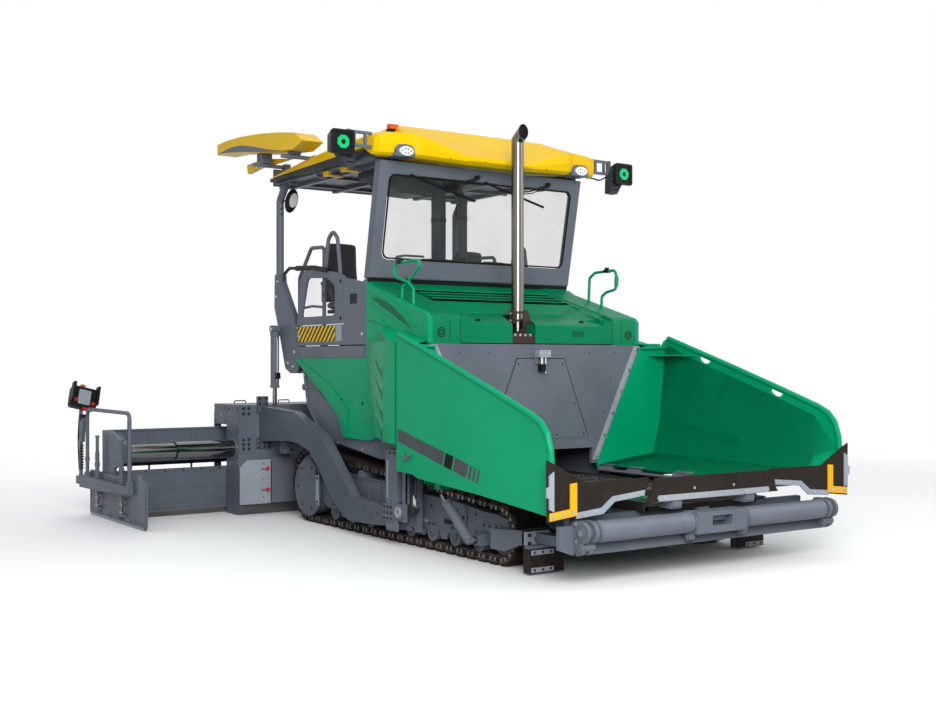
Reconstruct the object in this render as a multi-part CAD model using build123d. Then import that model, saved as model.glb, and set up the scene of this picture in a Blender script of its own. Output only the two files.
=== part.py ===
"""Tracked asphalt paver: tractor unit, hopper and extending screed.

Millimetres. The hopper looks along -Y, the screed lies at +Y, the machine's left side is +X and the ground is
Z = 0. The origin is the middle of the overall box, on the ground.
"""
import os
from math import asin, cos, degrees, pi, radians, sin

from build123d import *

# ---- crawler tracks -------------------------------------------------------------------------------------------
TRACK_OUTER = 1280          # outer edge of the shoes, from the centre plane
TRACK_WIDTH = 305
TRACK_INNER = TRACK_OUTER - TRACK_WIDTH
SPROCKET_Y, SPROCKET_R = 1180, 400      # rear wheel, over the grousers
IDLER_Y, IDLER_R = -2270, 265           # front wheel, over the grousers
SHOE_COUNT = 54
GROUSER = 26                # height of a grouser bar
BELT = 78                   # grouser tip to the chain's inner face
ROLLER_R = 84
ROLLER_COUNT = 8

# ---- tractor --------------------------------------------------------------------------------------------------
FRONT_Y = -3600             # front of the push rollers
BODY_HALF = 1280            # half width of the platform and of the hood's flanks
HOOD_HALF = BODY_HALF - 40
WALL_Y = -1200              # front face of the hopper's rear wall
WALL_T = 40
HOOD_BOTTOM, HOOD_FRONT_TOP, HOOD_REAR_TOP = 1880, 2160, 2520
HOOD_REAR_Y = -40
DECK_BOTTOM, DECK_TOP = 1750, 1880
DECK_REAR_Y = 1840
GUARD_IN = BODY_HALF - 40
GUARD_WINDOW = [(620, 2190), (620, 2530), (760, 2600), (1280, 2600), (1400, 2190)]      # y, z
TUNNEL_HALF, TUNNEL_TOP = 655, 860      # conveyor tunnel through the tractor
FLOOR_Z = 580               # top of the conveyor floor
CONVEYOR_FRONT, CONVEYOR_REAR = -3360, 1440

# ---- hopper ---------------------------------------------------------------------------------------------------
WING_HINGE_X, WING_HINGE_Z = 690, 640
WING_FOLD = 52              # degrees from open to folded
WING_OUTER = 1655           # outer face of a wing
WING_T = 26
WING_REAR_Y = -1230         # rear face of the wing's rear panel
WING_FRONT_Y = -3440
WING_TOP_REAR, WING_TOP_FRONT = 1965, 1265
WING_CYL_FOOT = (1430, -2050, 200)      # x, y, z of the cylinder's lower pivot on the track frame
WING_CYL_EYE = (1500, -1720, 585)       # x, y, z of its upper eye under the wing
WING_BARREL = 410
APRON_Y = -3500             # front face of the middle rubber apron
FLAP_Y = -3470              # front face of the flaps on the wings

# ---- push beam ------------------------------------------------------------------------------------------------
PUSH_PIVOT_Y, PUSH_PIVOT_R = -3335, 40
PUSH_Z = 430
PUSH_ROLLER_R, PUSH_ROLLER_Y = 85, FRONT_Y + 85

# ---- cab and roof ---------------------------------------------------------------------------------------------
SCREEN_BOTTOM_Y, SCREEN_BOTTOM_Z = -45, 2540
SCREEN_TOP_Y, SCREEN_TOP_Z = -270, 3680
ROOF_REAR_Y = 2020
AWNING_RAIL_Z, AWNING_OUT = 3885, 1640     # top of the rails, outer face of an awning
POST_X, POST_Y = 1200, 2050
POST_IN, POST_OUT = 1165, 1235

# ---- screed ---------------------------------------------------------------------------------------------------
TOW_Y, TOW_Z = -830, 260    # tow point: the pivot of the screed arms
TOW_PIN_R = 35
ARM_IN, ARM_OUT = 1345, 1445
MAIN_HALF = 1690
MAIN_FRONT_Y, MAIN_REAR_Y = 2060, 2420
MAIN_TOP = 1230
EXT_FRONT_Y, EXT_REAR_Y = 2450, 2840
EXT_IN, EXT_OUT = 1450, 3000            # inner end of the extended screed, outer face of its end plate
EXT_FRAME = EXT_OUT - 60                # inner face of the end frame
EXT_STROKE = 1240
TUBE_Y, TUBE_Z, TUBE_R = 2250, 740, 95
WALK_Y, WALK_Z = (2870, 3330), 380
REAR_Y = 3600
LIFT_X, LIFT_Y = 1290, 2000
LIFT_TOP_Z, LIFT_EYE_Z = 2080, 1245
AUGER_Y, AUGER_Z, AUGER_R = 1720, 370, 235
LIMIT_HINGE_X, LIMIT_OUT, LIMIT_Y = 1360, 1725, 1985


# ---- building blocks ------------------------------------------------------------------------------------------
def box(x, y, z):
    """Block between the given low and high ends on each axis."""
    size = Box(x[1] - x[0], y[1] - y[0], z[1] - z[0])
    return Pos((x[0] + x[1]) / 2, (y[0] + y[1]) / 2, (z[0] + z[1]) / 2) * size


def prism_x(outline, low, high):
    """Side-view outline of (y, z) points, thick from x = low to high."""
    face = make_face(Polyline(*[(low, y, z) for y, z in outline], close=True))
    return extrude(face, high - low, dir=(1, 0, 0))


def prism_y(outline, low, high):
    """Front-view outline of (x, z) points, thick from y = low to high."""
    face = make_face(Polyline(*[(x, low, z) for x, z in outline], close=True))
    return extrude(face, high - low, dir=(0, 1, 0))


def prism_z(outline, low, high):
    """Plan outline of (x, y) points, thick from z = low to high."""
    face = make_face(Polyline(*[(x, y, low) for x, y in outline], close=True))
    return extrude(face, high - low, dir=(0, 0, 1))


def rod(start, end, radius):
    """Round bar between two points."""
    start = Vector(*start)
    end = Vector(*end)
    return extrude(Plane(start, z_dir=end - start) * Circle(radius), (end - start).length)


def pipe(points, radius, bend):
    """Round tube along straight runs with equal bends."""
    path = FilletPolyline(*points, radius=bend)
    return sweep(Plane(path @ 0, z_dir=path % 0) * Circle(radius), path=path)


def mirrored(solid):
    """The same piece on the machine's right side."""
    return mirror(solid, about=Plane.YZ)


def both(solid):
    """A left piece together with its mirror image."""
    return Compound(children=[solid, mirrored(solid)])


def joined(*pieces):
    """Pieces fused to one solid."""
    whole = pieces[0]
    for piece in pieces[1:]:
        whole = whole + piece
    return whole


def save(name, shape):
    export_step(shape, f"parts/{name}.step")


# ---- crawler tracks -------------------------------------------------------------------------------------------
def track_line(offset):
    """Closed side line of the track, moved inwards by offset: its length and a point at any distance along it."""
    rear, front = SPROCKET_R - offset, IDLER_R - offset
    span = ((SPROCKET_Y - IDLER_Y) ** 2 + (SPROCKET_R - IDLER_R) ** 2) ** 0.5
    drop = asin((SPROCKET_R - IDLER_R) / (SPROCKET_Y - IDLER_Y))
    bottom = SPROCKET_Y - IDLER_Y
    rear_turn = pi + 2 * drop
    front_turn = 2 * pi - rear_turn
    top = span * cos(asin((SPROCKET_R - IDLER_R) / span))
    length = bottom + rear * rear_turn + top + front * front_turn

    def point(distance, out=0):
        along = distance % length
        if along < bottom:
            return IDLER_Y + along, offset - out
        along -= bottom
        if along < rear * rear_turn:
            angle = -pi / 2 + along / rear
            return SPROCKET_Y + (rear + out) * cos(angle), SPROCKET_R + (rear + out) * sin(angle)
        along -= rear * rear_turn
        angle = pi / 2 + 2 * drop
        if along < top:
            part = along / top
            y = SPROCKET_Y + (IDLER_Y - SPROCKET_Y) * part
            centre_z = SPROCKET_R + (IDLER_R - SPROCKET_R) * part
            reach = rear + (front - rear) * part + out
            return y + reach * cos(angle), centre_z + reach * sin(angle)
        along -= top
        angle += along / front
        return IDLER_Y + (front + out) * cos(angle), IDLER_R + (front + out) * sin(angle)

    return length, point


def track_left():
    """Shoes and chain as one closed loop: each shoe stands out of the belt by its grouser."""
    length, point = track_line(GROUSER)
    pitch = length / SHOE_COUNT
    outline = []
    for shoe in range(SHOE_COUNT):
        start = shoe * pitch
        outline += [point(start + pitch * 0.04), point(start + pitch * 0.10, GROUSER)]
        outline += [point(start + pitch * 0.80, GROUSER), point(start + pitch * 0.86)]
    inner_length, inner_point = track_line(BELT)
    steps = 3 * SHOE_COUNT
    inside = [inner_point(inner_length * k / steps) for k in range(steps)]
    loop = prism_x(outline, TRACK_INNER, TRACK_OUTER)
    return loop - prism_x(inside, TRACK_INNER - 1, TRACK_OUTER + 1)


def crawler_frame_left():
    """Track frame with its rollers, front idler, rear sprocket and the flat sprocket cover."""
    low, high = TRACK_INNER + 20, TRACK_OUTER - 25
    beam = prism_x(
        [(-2370, 310), (-2370, 395), (-2200, 425), (-1970, 430), (-1560, 470), (-850, 490), (-330, 545), (500, 560),
         (980, 470), (980, 300), (800, 190), (-2080, 190), (-2180, 260)],
        low, high)
    pieces = [beam]
    roller_z = BELT + ROLLER_R + 2
    for k in range(ROLLER_COUNT):
        y = -1950 + k * 370
        pieces.append(rod((low, y, roller_z), (high - 8, y, roller_z), ROLLER_R))
    pieces.append(rod((low + 30, IDLER_Y, IDLER_R), (high - 40, IDLER_Y, IDLER_R), IDLER_R - BELT - 5))
    pieces.append(rod((low, SPROCKET_Y, SPROCKET_R), (high, SPROCKET_Y, SPROCKET_R), SPROCKET_R - BELT - 5))
    hub = rod((high, SPROCKET_Y - 20, 370), (TRACK_OUTER + 2, SPROCKET_Y - 20, 370), 220)
    cover = rod((TRACK_OUTER + 2, SPROCKET_Y - 20, 370), (TRACK_OUTER + 22, SPROCKET_Y - 20, 370), 300)
    cover -= box((TRACK_OUTER, TRACK_OUTER + 30), (700, SPROCKET_Y - 260), (0, 800))
    pieces += [hub, cover]
    foot_x, foot_y, foot_z = WING_CYL_FOOT
    pieces.append(box((high - 20, foot_x - 64), (foot_y - 45, foot_y + 45), (foot_z - 40, foot_z + 40)))
    for y in (-900, 100):
        pieces.append(rod((low + 60, y, 568 + 0.078 * y), (high, y, 568 + 0.078 * y), 52))
        pieces.append(box((low + 20, high - 40), (y - 60, y + 60), (470, 535)))
    return joined(*pieces)


# ---- tractor frame --------------------------------------------------------------------------------------------
def chassis():
    """Welded frame: side plates, cross beams to the track frames, rear plate, tow guides and track scrapers."""
    side = prism_x(
        [(-3200, 300), (-3200, 520), (WALL_Y + WALL_T, 520), (WALL_Y + WALL_T, 1750), (1400, 1750),
         (1500, 1500), (1500, 560), (900, 420), (-2900, 300)],
        840, 930)
    cross = [box((-840, 840), (y - 90, y + 90), (320, 470)) for y in (-2000, -400, 1000)]
    cross.append(box((-1330, 1330), (-3260, -3200), (300, 520)))
    cross.append(box((-840, 840), (1440, 1500), (950, 1700)))
    axle = [box((930, TRACK_INNER + 20), (y - 110, y + 110), (320, 450)) for y in (-2000, -400)]
    axle.append(rod((930, SPROCKET_Y, SPROCKET_R), (TRACK_INNER + 20, SPROCKET_Y, SPROCKET_R), 200))
    cross.append(box((-60, 60), (PUSH_PIVOT_Y - 45, -3260), (500, 520)))
    cross.append(rod((0, PUSH_PIVOT_Y, 300), (0, PUSH_PIVOT_Y, 510), PUSH_PIVOT_R))
    left = joined(side, *axle, tow_guide(), track_scraper())
    return joined(left, mirrored(left), *cross)


def tow_guide():
    """Upright guide for the tow point: inner and outer posts, the head that joins them and the pin between."""
    inner, outer = (1288, ARM_IN - 5), (ARM_OUT + 8, ARM_OUT + 28)
    posts = [box(inner, (-950, -750), (150, 840)), box(inner, (-1100, -1040), (150, 840)),
             box(inner, (-1100, -750), (TOW_Z - 70, TOW_Z + 70)),
             box(outer, (-950, -750), (150, 840)), box(outer, (-1100, -1040), (250, 840)),
             box(outer, (-1100, -750), (250, 410))]
    head = box((HOOD_HALF, ARM_OUT + 28), (-1100, -750), (840, 900))
    shelf = box((930, HOOD_HALF), (-1100, -750), (860, 900))
    pin = rod((1300, TOW_Y, TOW_Z), (ARM_OUT + 20, TOW_Y, TOW_Z), TOW_PIN_R)
    return joined(head, shelf, pin, *posts)


def track_scraper():
    """Rubber block ahead of the track under its slotted plate, on an arm from the front cross beam."""
    arm = box((1150, 1250), (-3200, -2700), (250, 330))
    plate = box((1110, 1360), (-2720, -2700), (215, 345))
    side = prism_x([(-2240, 150), (-2240, 320), (-2640, 345), (-2705, 345), (-2705, 230), (-2640, 225), (-2440, 150)],
                   1305, 1345)
    block = box((1010, 1360), (-2790, -2720), (20, 240))
    return joined(arm, plate, side, block)


def engine():
    return box((-820, 820), (-1060, 900), (980, 1740))


def conveyor():
    """Conveyor floor with its side walls, centre cover and flight bars."""
    floor = box((-640, 640), (CONVEYOR_FRONT, CONVEYOR_REAR), (FLOOR_Z - 60, FLOOR_Z - 22))
    pieces = [floor, box((-40, 40), (CONVEYOR_FRONT, CONVEYOR_REAR), (FLOOR_Z - 22, FLOOR_Z + 25))]
    for k in range(18):
        y = CONVEYOR_FRONT + 130 + k * 265
        pieces.append(box((-600, 600), (y - 18, y + 18), (FLOOR_Z - 22, FLOOR_Z)))
    for side in (-1, 1):
        edge = (600, 650) if side > 0 else (-650, -600)
        pieces.append(box(edge, (CONVEYOR_FRONT, CONVEYOR_REAR), (FLOOR_Z - 60, FLOOR_Z + 20)))
    return joined(*pieces)


def hopper_rear_wall():
    """Steel wall between hopper and engine, open below for the conveyor, with its hatch and level sensor."""
    wall = prism_y(
        [(-BODY_HALF, HOOD_BOTTOM), (BODY_HALF, HOOD_BOTTOM), (BODY_HALF, 1300), (960, 700), (TUNNEL_HALF, 700),
         (TUNNEL_HALF, TUNNEL_TOP), (-TUNNEL_HALF, TUNNEL_TOP), (-TUNNEL_HALF, 700), (-960, 700),
         (-BODY_HALF, 1300)],
        WALL_Y, WALL_Y + WALL_T)
    hatch = prism_y([(-560, 960), (560, 960), (280, 1740), (-280, 1740)], WALL_Y - 8, WALL_Y)
    sensor = joined(box((-55, 55), (WALL_Y - 60, WALL_Y), (1760, 1820)),
                    box((-25, 25), (WALL_Y - 50, WALL_Y - 8), (1660, 1760)))
    return joined(wall, hatch, sensor)


def side_body_left():
    """Grey lower body beside the engine, over the track."""
    return prism_x(
        [(-1160, 900), (-1160, DECK_BOTTOM), (1380, DECK_BOTTOM), (1260, 1250), (900, 900), (-240, 760), (-500, 760),
         (-560, 900)],
        930, HOOD_HALF)


def side_cover_left():
    """Green fairing from the hood's flank out to the hopper wing, with its tail fin and slanted vents."""
    front_y = WALL_Y + WALL_T
    plan = prism_z(
        [(HOOD_HALF, front_y), (WING_OUTER - 30, front_y), (WING_OUTER - 30, -950), (BODY_HALF + 25, -60),
         (HOOD_HALF, -60)], 900, 2600)
    front = prism_y([(1200, 900), (1700, 900), (1700, 1900), (1310, 2030), (1290, 2600), (1200, 2600)], -1300, 0)
    flank = prism_x([(-1300, 950), (-390, 1030), (-300, 1300), (-60, DECK_BOTTOM), (-60, 2480), (-160, 2450),
                     (-1150, HOOD_FRONT_TOP), (-1300, HOOD_FRONT_TOP)], 1200, 1700)
    fairing = plan & front & flank
    for k in range(4):
        z = 1290 + k * 190
        slot = prism_x([(-890, z - 60), (-890, z + 10), (-560, z + 120), (-560, z + 50)], 1300, 1700)
        fairing -= slot & (plan - Pos(-30, 0, 0) * plan)
    fin = prism_x(
        [(-390, 1030), (-300, 1300), (-60, DECK_BOTTOM), (1430, DECK_BOTTOM), (520, 1140), (390, 930)],
        HOOD_HALF, BODY_HALF + 10)
    return joined(fairing, fin)


def hood():
    """Engine hood: side shoulders, a lower middle with raised trays and air louvres, a well for the exhaust, loops."""
    front = -1190
    shoulder = prism_x([(front, HOOD_BOTTOM), (front, 2125), (-1150, HOOD_FRONT_TOP), (-160, 2450),
                        (HOOD_REAR_Y, HOOD_REAR_TOP), (HOOD_REAR_Y, HOOD_BOTTOM)], 930, HOOD_HALF)
    middle = prism_x([(front + 6, HOOD_BOTTOM), (front + 6, 2020), (-1100, 2075), (-620, 2225), (-600, 2285),
                      (-160, 2405), (-160, 2452), (HOOD_REAR_Y, 2512), (HOOD_REAR_Y, HOOD_BOTTOM)], -930, 930)
    tray_side = [(front, HOOD_BOTTOM), (front, 2095), (-1160, 2120), (-900, 2195), (-740, 2200), (-720, 1950)]
    shell = joined(shoulder, mirrored(shoulder), middle, prism_x(tray_side, -930, -560), prism_x(tray_side, 380, 930))
    shell -= prism_x([(-1140, HOOD_BOTTOM - 1), (-1140, 1960), (-1080, 2020), (-620, 2160), (-160, 2340),
                      (-90, 2340), (-90, HOOD_BOTTOM - 1)], -HOOD_HALF + 30, HOOD_HALF - 30)
    for k in range(7):
        y = -215 - k * 60
        z = 2450 + (y + 160) * 0.2727
        shell -= box((-860, 860), (y - 18, y + 18), (z - 75, z - 30))
    shell -= box((-200, 260), (-1000, -660), (1950, 2300))
    left_loop = pipe([(1080, -700, 2240), (1100, -720, 2560), (1120, -740, 2665), (1230, -790, 2665),
                      (1225, -780, 2480), (1165, -700, 2420), (1165, -700, 2240)], 13, 30)
    return joined(shell, left_loop, mirrored(left_loop))


def exhaust_pipe():
    """Upright stainless pipe with a mitred, forward-leaning mouth."""
    path = [(0, -830, 1960), (0, -830, 3900), (0, -900, 4050)]
    collar = rod((0, -830, 1960), (0, -830, 2000), 90) - rod((0, -830, 1959), (0, -830, 2001), 60)
    return pipe(path, 62, 90) - pipe(path, 56, 90) + collar


# ---- platform, cab and roof -----------------------------------------------------------------------------------
def platform():
    """Deck with its side skirts, front bulkhead and rear step."""
    deck = box((-BODY_HALF + 10, BODY_HALF - 10), (HOOD_REAR_Y, 1430), (DECK_BOTTOM, DECK_TOP))
    tail = box((-POST_IN, POST_IN), (1430, DECK_REAR_Y), (DECK_BOTTOM, DECK_TOP))
    bulkhead = box((-BODY_HALF + 10, BODY_HALF - 10), (HOOD_REAR_Y, HOOD_REAR_Y + 50), (DECK_TOP, 2540))
    skirt = prism_x([(HOOD_REAR_Y + 50, DECK_TOP), (HOOD_REAR_Y + 50, 2480), (430, 2560), (430, 2100), (1500, 2100),
                     (1430, DECK_TOP)], BODY_HALF - 40, BODY_HALF - 10)
    step = box((-420, 420), (DECK_REAR_Y, DECK_REAR_Y + 60), (1300, DECK_TOP))
    return joined(deck, tail, bulkhead, skirt, mirrored(skirt), step)


def side_guard_left():
    """Side wall of the platform with its window opening and grab bar."""
    wall = prism_x([(435, 2100), (435, 2590), (1090, 2710), (1400, 2620), (1500, 2100)], GUARD_IN, BODY_HALF - 10)
    return wall - prism_x(GUARD_WINDOW, GUARD_IN - 1, BODY_HALF)


def operator_console():
    """Cross console with two raised panels and the round air duct up to the roof."""
    desk = prism_x([(330, DECK_TOP), (330, 2560), (420, 2640), (640, 2540), (640, 2460), (470, 2400), (470, DECK_TOP)],
                   -980, 980)
    duct = pipe([(-180, 330, 2500), (-180, 330, 3480), (-700, 330, 3590)], 75, 200)
    second = pipe([(120, 330, 2560), (120, 330, 3450), (-90, 330, 3590)], 45, 120)
    return joined(desk, duct, second)


def seats():
    """Two seats, one at each side of the deck."""
    cushion = box((640, 1060), (760, 1230), (2240, 2380))
    back = prism_x([(1130, 2380), (1230, 2380), (1310, 2990), (1220, 3010)], 660, 1040)
    base = box((760, 940), (860, 1120), (DECK_TOP, 2240))
    seat = joined(cushion, back, base)
    return both(seat)


def screen_y(z):
    """The windscreen's plane: how far back it lies at a height."""
    return SCREEN_BOTTOM_Y + (SCREEN_TOP_Y - SCREEN_BOTTOM_Y) * (z - SCREEN_BOTTOM_Z) / (SCREEN_TOP_Z - SCREEN_BOTTOM_Z)


def screen_sheet(half, low, high, front, rear):
    """Sheet that follows the windscreen's lean, between two depths measured from its plane."""
    outline = [(screen_y(low) + front, low), (screen_y(high) + front, high), (screen_y(high) + rear, high),
               (screen_y(low) + rear, low)]
    return prism_x(outline, -half, half)


def windscreen_frame():
    frame = screen_sheet(BODY_HALF - 20, SCREEN_BOTTOM_Z, SCREEN_TOP_Z, -35, 35)
    opening = screen_sheet(1150, SCREEN_BOTTOM_Z + 190, SCREEN_TOP_Z - 120, -40, 40)
    return frame - opening


def glazing():
    """Windscreen pane and the tinted panes of the side guards."""
    screen = screen_sheet(1150, SCREEN_BOTTOM_Z + 190, SCREEN_TOP_Z - 120, -5, 5)
    pane = prism_x(GUARD_WINDOW, GUARD_IN + 12, GUARD_IN + 18)
    return Compound(children=[screen, pane, mirrored(pane)])


def rear_post_left():
    """Cranked bracket on the deck's rear corner and the tube that carries the roof."""
    bracket = prism_x([(1435, DECK_BOTTOM), (1570, 2100), (1960, 2620), (1960, 2700), (2120, 2700), (2130, 2330),
                       (2000, 2060), (1850, 1640), (1720, 1580), (1560, 1580)], POST_IN, POST_OUT)
    tube = pipe([(POST_X, POST_Y, 2500), (POST_X, POST_Y, 3520), (POST_X, POST_Y - 110, 3650)], 35, 90)
    foot = box((POST_IN, POST_OUT), (POST_Y - 190, POST_Y - 60), (3640, 3700))
    return joined(bracket, tube, foot)


def handrails():
    """Hoop rails at the sides of the deck."""
    hoop_x, rail_x = GUARD_IN - 22, GUARD_IN - 110
    hoop = pipe([(hoop_x, 560, 2300), (hoop_x, 660, 3000), (hoop_x, 760, 3080), (hoop_x, 860, 3000),
                 (hoop_x, 965, 2450)], 21, 60)
    rail = pipe([(rail_x, 1120, DECK_TOP), (rail_x, 1120, 2620), (rail_x, 1270, 2940), (rail_x, 1700, 2960),
                 (rail_x, 1700, DECK_TOP)], 19, 70)
    return Compound(children=[hoop, mirrored(hoop), rail, mirrored(rail)])


def roof_section(edge, top, nose, crease, low, under):
    """Side profile of the roof's moulding at one station: top, sloping front, crease, upright band and lip."""
    return [(1950, top - 150), (1200, top - 70), (500, top - 22), (edge, top), (nose, crease),
            (nose - 4, (crease + low) / 2), (nose + 14, low + 26), (nose + 60, low), (-160, under)]


def roof():
    """Moulded roof: a sloping front between two lamp pods, its grey tray and beams, and the awnings' rails."""
    # x, front edge of the top and its height, nose and height of the crease, lip, and underside behind the lip
    half = [(0, 0, 4105, -560, 3755, 3675, 3695), (400, 0, 4105, -560, 3755, 3675, 3695),
            (930, -20, 4095, -505, 3915, 3700, 3715), (1000, -300, 3965, -478, 3935, 3712, 3725),
            (1250, -300, 3955, -452, 3920, 3702, 3725), (1340, -280, 3930, -425, 3900, 3705, 3790),
            (1385, -230, 3900, -365, 3872, 3715, 3800)]
    stations = [(-x, *rest) for x, *rest in half[:0:-1]] + half
    faces = []
    for x, *rest in stations:
        outline = [(x, y, z) for y, z in roof_section(*rest)]
        faces.append(make_face(Polyline(*outline, close=True)))
    shell = loft(faces, ruled=True)
    tray = box((-1290, 1290), (-180, ROOF_REAR_Y), (3700, 3765))
    back = box((-1300, 1300), (ROOF_REAR_Y - 30, ROOF_REAR_Y + 10), (3690, 3880))
    pieces = [shell, tray, back]
    for x in (-1100, -550, 550, 1100):
        pieces.append(box((x - 30, x + 30), (-150, ROOF_REAR_Y - 50), (3660, 3700)))
    for y in (1050, 1750):
        pieces.append(box((-1650, 1650), (y - 22, y + 22), (AWNING_RAIL_Z - 40, AWNING_RAIL_Z)))
    return joined(*pieces)


def awning_left():
    """Moulded awning wing that rides on the roof's rails, with its lower tail."""
    wing = prism_x(
        [(620, 3965), (820, 4075), (1200, 4135), (1650, 4190), (2150, 4232), (2550, 4245), (2800, 4235), (2800, 4115),
         (2450, 4095), (2050, 4045), (1600, 3975), (1200, 3935), (850, 3905)], 1400, AWNING_OUT)
    feet = [box((1460, 1580), (y - 40, y + 40), (AWNING_RAIL_Z, z)) for y, z in ((1050, 3960), (1750, 4040))]
    tail = prism_x([(1300, 3892), (1800, 3955), (2120, 3975), (2420, 3970), (2400, 3865), (2060, 3892)],
                   1390, 1440)
    tie = prism_x([(2000, 3960), (2150, 3965), (2150, 4080), (2000, 4060)], 1400, 1440)
    return joined(wing, *feet, tail, tie)


def work_lamps():
    """Ladder brackets and lamp housings at both front corners of the roof."""
    arm = joined(box((1387, 1670), (-335, -303), (3771, 3799)), box((1387, 1670), (-335, -303), (3900, 3928)),
                 box((1438, 1462), (-333, -305), (3799, 3900)), box((1558, 1582), (-333, -305), (3799, 3900)))
    head = prism_z([(1632, -450), (1880, -450), (1880, -418), (1845, -290), (1667, -290), (1632, -418)], 3662, 3898)
    wedge = prism_y([(1600, 3560), (1705, 3560), (1790, 3690), (1640, 3690)], -400, -295)
    side = joined(arm, head, wedge)
    return both(side)


# ---- hopper wings ---------------------------------------------------------------------------------------------
def hopper_wing_left():
    """Folding half of the hopper: sloped floor, outer side, rear panel and the rubber side flap at the front."""
    hinge, out, low = WING_HINGE_X + 5, WING_OUTER, WING_HINGE_Z - 4
    section = [(hinge, low), (hinge, low + 40), (1350, low + 100), (out - 60, 900), (out - WING_T, 1250),
               (out - WING_T, 2100), (out, 2100), (out, 730), (out - 60, low)]
    side = prism_x([(WING_REAR_Y, 600), (WING_REAR_Y, WING_TOP_REAR), (WING_FRONT_Y + 130, WING_TOP_FRONT + 20),
                    (WING_FRONT_Y, WING_TOP_FRONT - 80), (WING_FRONT_Y, 600)], 0, 2000)
    shell = prism_y(section, WING_FRONT_Y, WING_REAR_Y) & side
    rear = prism_y([(hinge, low + 40), (1270, 1840), (out, 1870), (out, 730), (out - 60, low)],
                   WING_REAR_Y - WING_T, WING_REAR_Y)
    rim = prism_x([(WING_REAR_Y, WING_TOP_REAR - 70), (WING_REAR_Y, WING_TOP_REAR),
                   (WING_FRONT_Y + 130, WING_TOP_FRONT + 20), (WING_FRONT_Y + 100, WING_TOP_FRONT - 50)],
                  out - WING_T, out + 20)
    flap = prism_y([(hinge + 10, low), (hinge + 10, 790), (1310, 800), (1560, 1020), (out, 1020), (out, 540),
                    (1350, 540), (1330, low)], FLAP_Y, WING_FRONT_Y)
    eye_x, eye_y, eye_z = WING_CYL_EYE
    lug = box((eye_x - 30, eye_x + 30), (eye_y - 40, eye_y + 40), (eye_z + 25, low + 30))
    tube = rod((WING_HINGE_X, WING_FRONT_Y, WING_HINGE_Z), (WING_HINGE_X, WING_REAR_Y - 20, WING_HINGE_Z), 14)
    return joined(shell, rear, rim, flap, lug, tube)


def along(start, end, distance):
    """Point at a distance from start towards end."""
    start = Vector(*start)
    return tuple(start + (Vector(*end) - start).normalized() * distance)


def wing_barrel_left():
    """Lower tube of the two-stage wing cylinder, with its eye."""
    foot_x, foot_y, foot_z = WING_CYL_FOOT
    tube = rod(WING_CYL_FOOT, along(WING_CYL_FOOT, WING_CYL_EYE, WING_BARREL), 42)
    tube -= rod(along(WING_CYL_FOOT, WING_CYL_EYE, 40), along(WING_CYL_FOOT, WING_CYL_EYE, WING_BARREL + 1), 32)
    return tube + rod((foot_x - 58, foot_y, foot_z), (foot_x, foot_y, foot_z), 18)


def wing_stage_left():
    """Middle tube of the wing cylinder."""
    tube = rod(along(WING_CYL_FOOT, WING_CYL_EYE, 50), along(WING_CYL_FOOT, WING_CYL_EYE, WING_BARREL + 12), 31)
    return tube - rod(along(WING_CYL_FOOT, WING_CYL_EYE, 70), along(WING_CYL_FOOT, WING_CYL_EYE, WING_BARREL + 13), 23)


def wing_rod_left():
    """Rod of the wing cylinder, up to its eye under the wing."""
    return rod(along(WING_CYL_FOOT, WING_CYL_EYE, 80), along(WING_CYL_FOOT, WING_CYL_EYE, WING_BARREL + 75), 22)


# ---- apron and push beam --------------------------------------------------------------------------------------
def front_apron():
    """Rubber apron at the front of the conveyor with its clamping bar."""
    flap = prism_y([(-640, 560), (-690, 640), (-650, 790), (640, 790), (690, 640), (640, 560)], APRON_Y, APRON_Y + 25)
    bar = box((-620, 620), (APRON_Y - 15, APRON_Y), (560, 610))
    carrier = box((-640, 640), (APRON_Y + 25, CONVEYOR_FRONT), (540, 590))
    return joined(flap, bar, carrier)


def push_beam():
    """Cross beam on a central pivot: rear plate, roller brackets and the hollow centre block."""
    plate = box((-1560, 1560), (-3425, -3385), (300, 480))
    lower = prism_y([(-1560, 250), (-1560, 300), (1560, 300), (1400, 250)], -3480, -3385)
    centre = box((-290, 290), (FRONT_Y + 10, -3425), (340, 520)) - box((-110, 110), (FRONT_Y, -3480), (400, 470))
    sleeve = rod((0, PUSH_PIVOT_Y, 300), (0, PUSH_PIVOT_Y, 490), 68)
    sleeve -= rod((0, PUSH_PIVOT_Y, 299), (0, PUSH_PIVOT_Y, 491), PUSH_PIVOT_R + 0.05)
    pieces = [plate, lower, centre, sleeve]
    for x in (-1420, 1300):
        pieces.append(prism_x([(-3425, 300), (-3425, 500), (FRONT_Y + 20, 520), (FRONT_Y + 10, 400), (-3520, 290)],
                              x, x + 120))
    return joined(*pieces)


def push_roller_left():
    return rod((305, PUSH_ROLLER_Y, PUSH_Z), (1290, PUSH_ROLLER_Y, PUSH_Z), PUSH_ROLLER_R)


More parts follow.
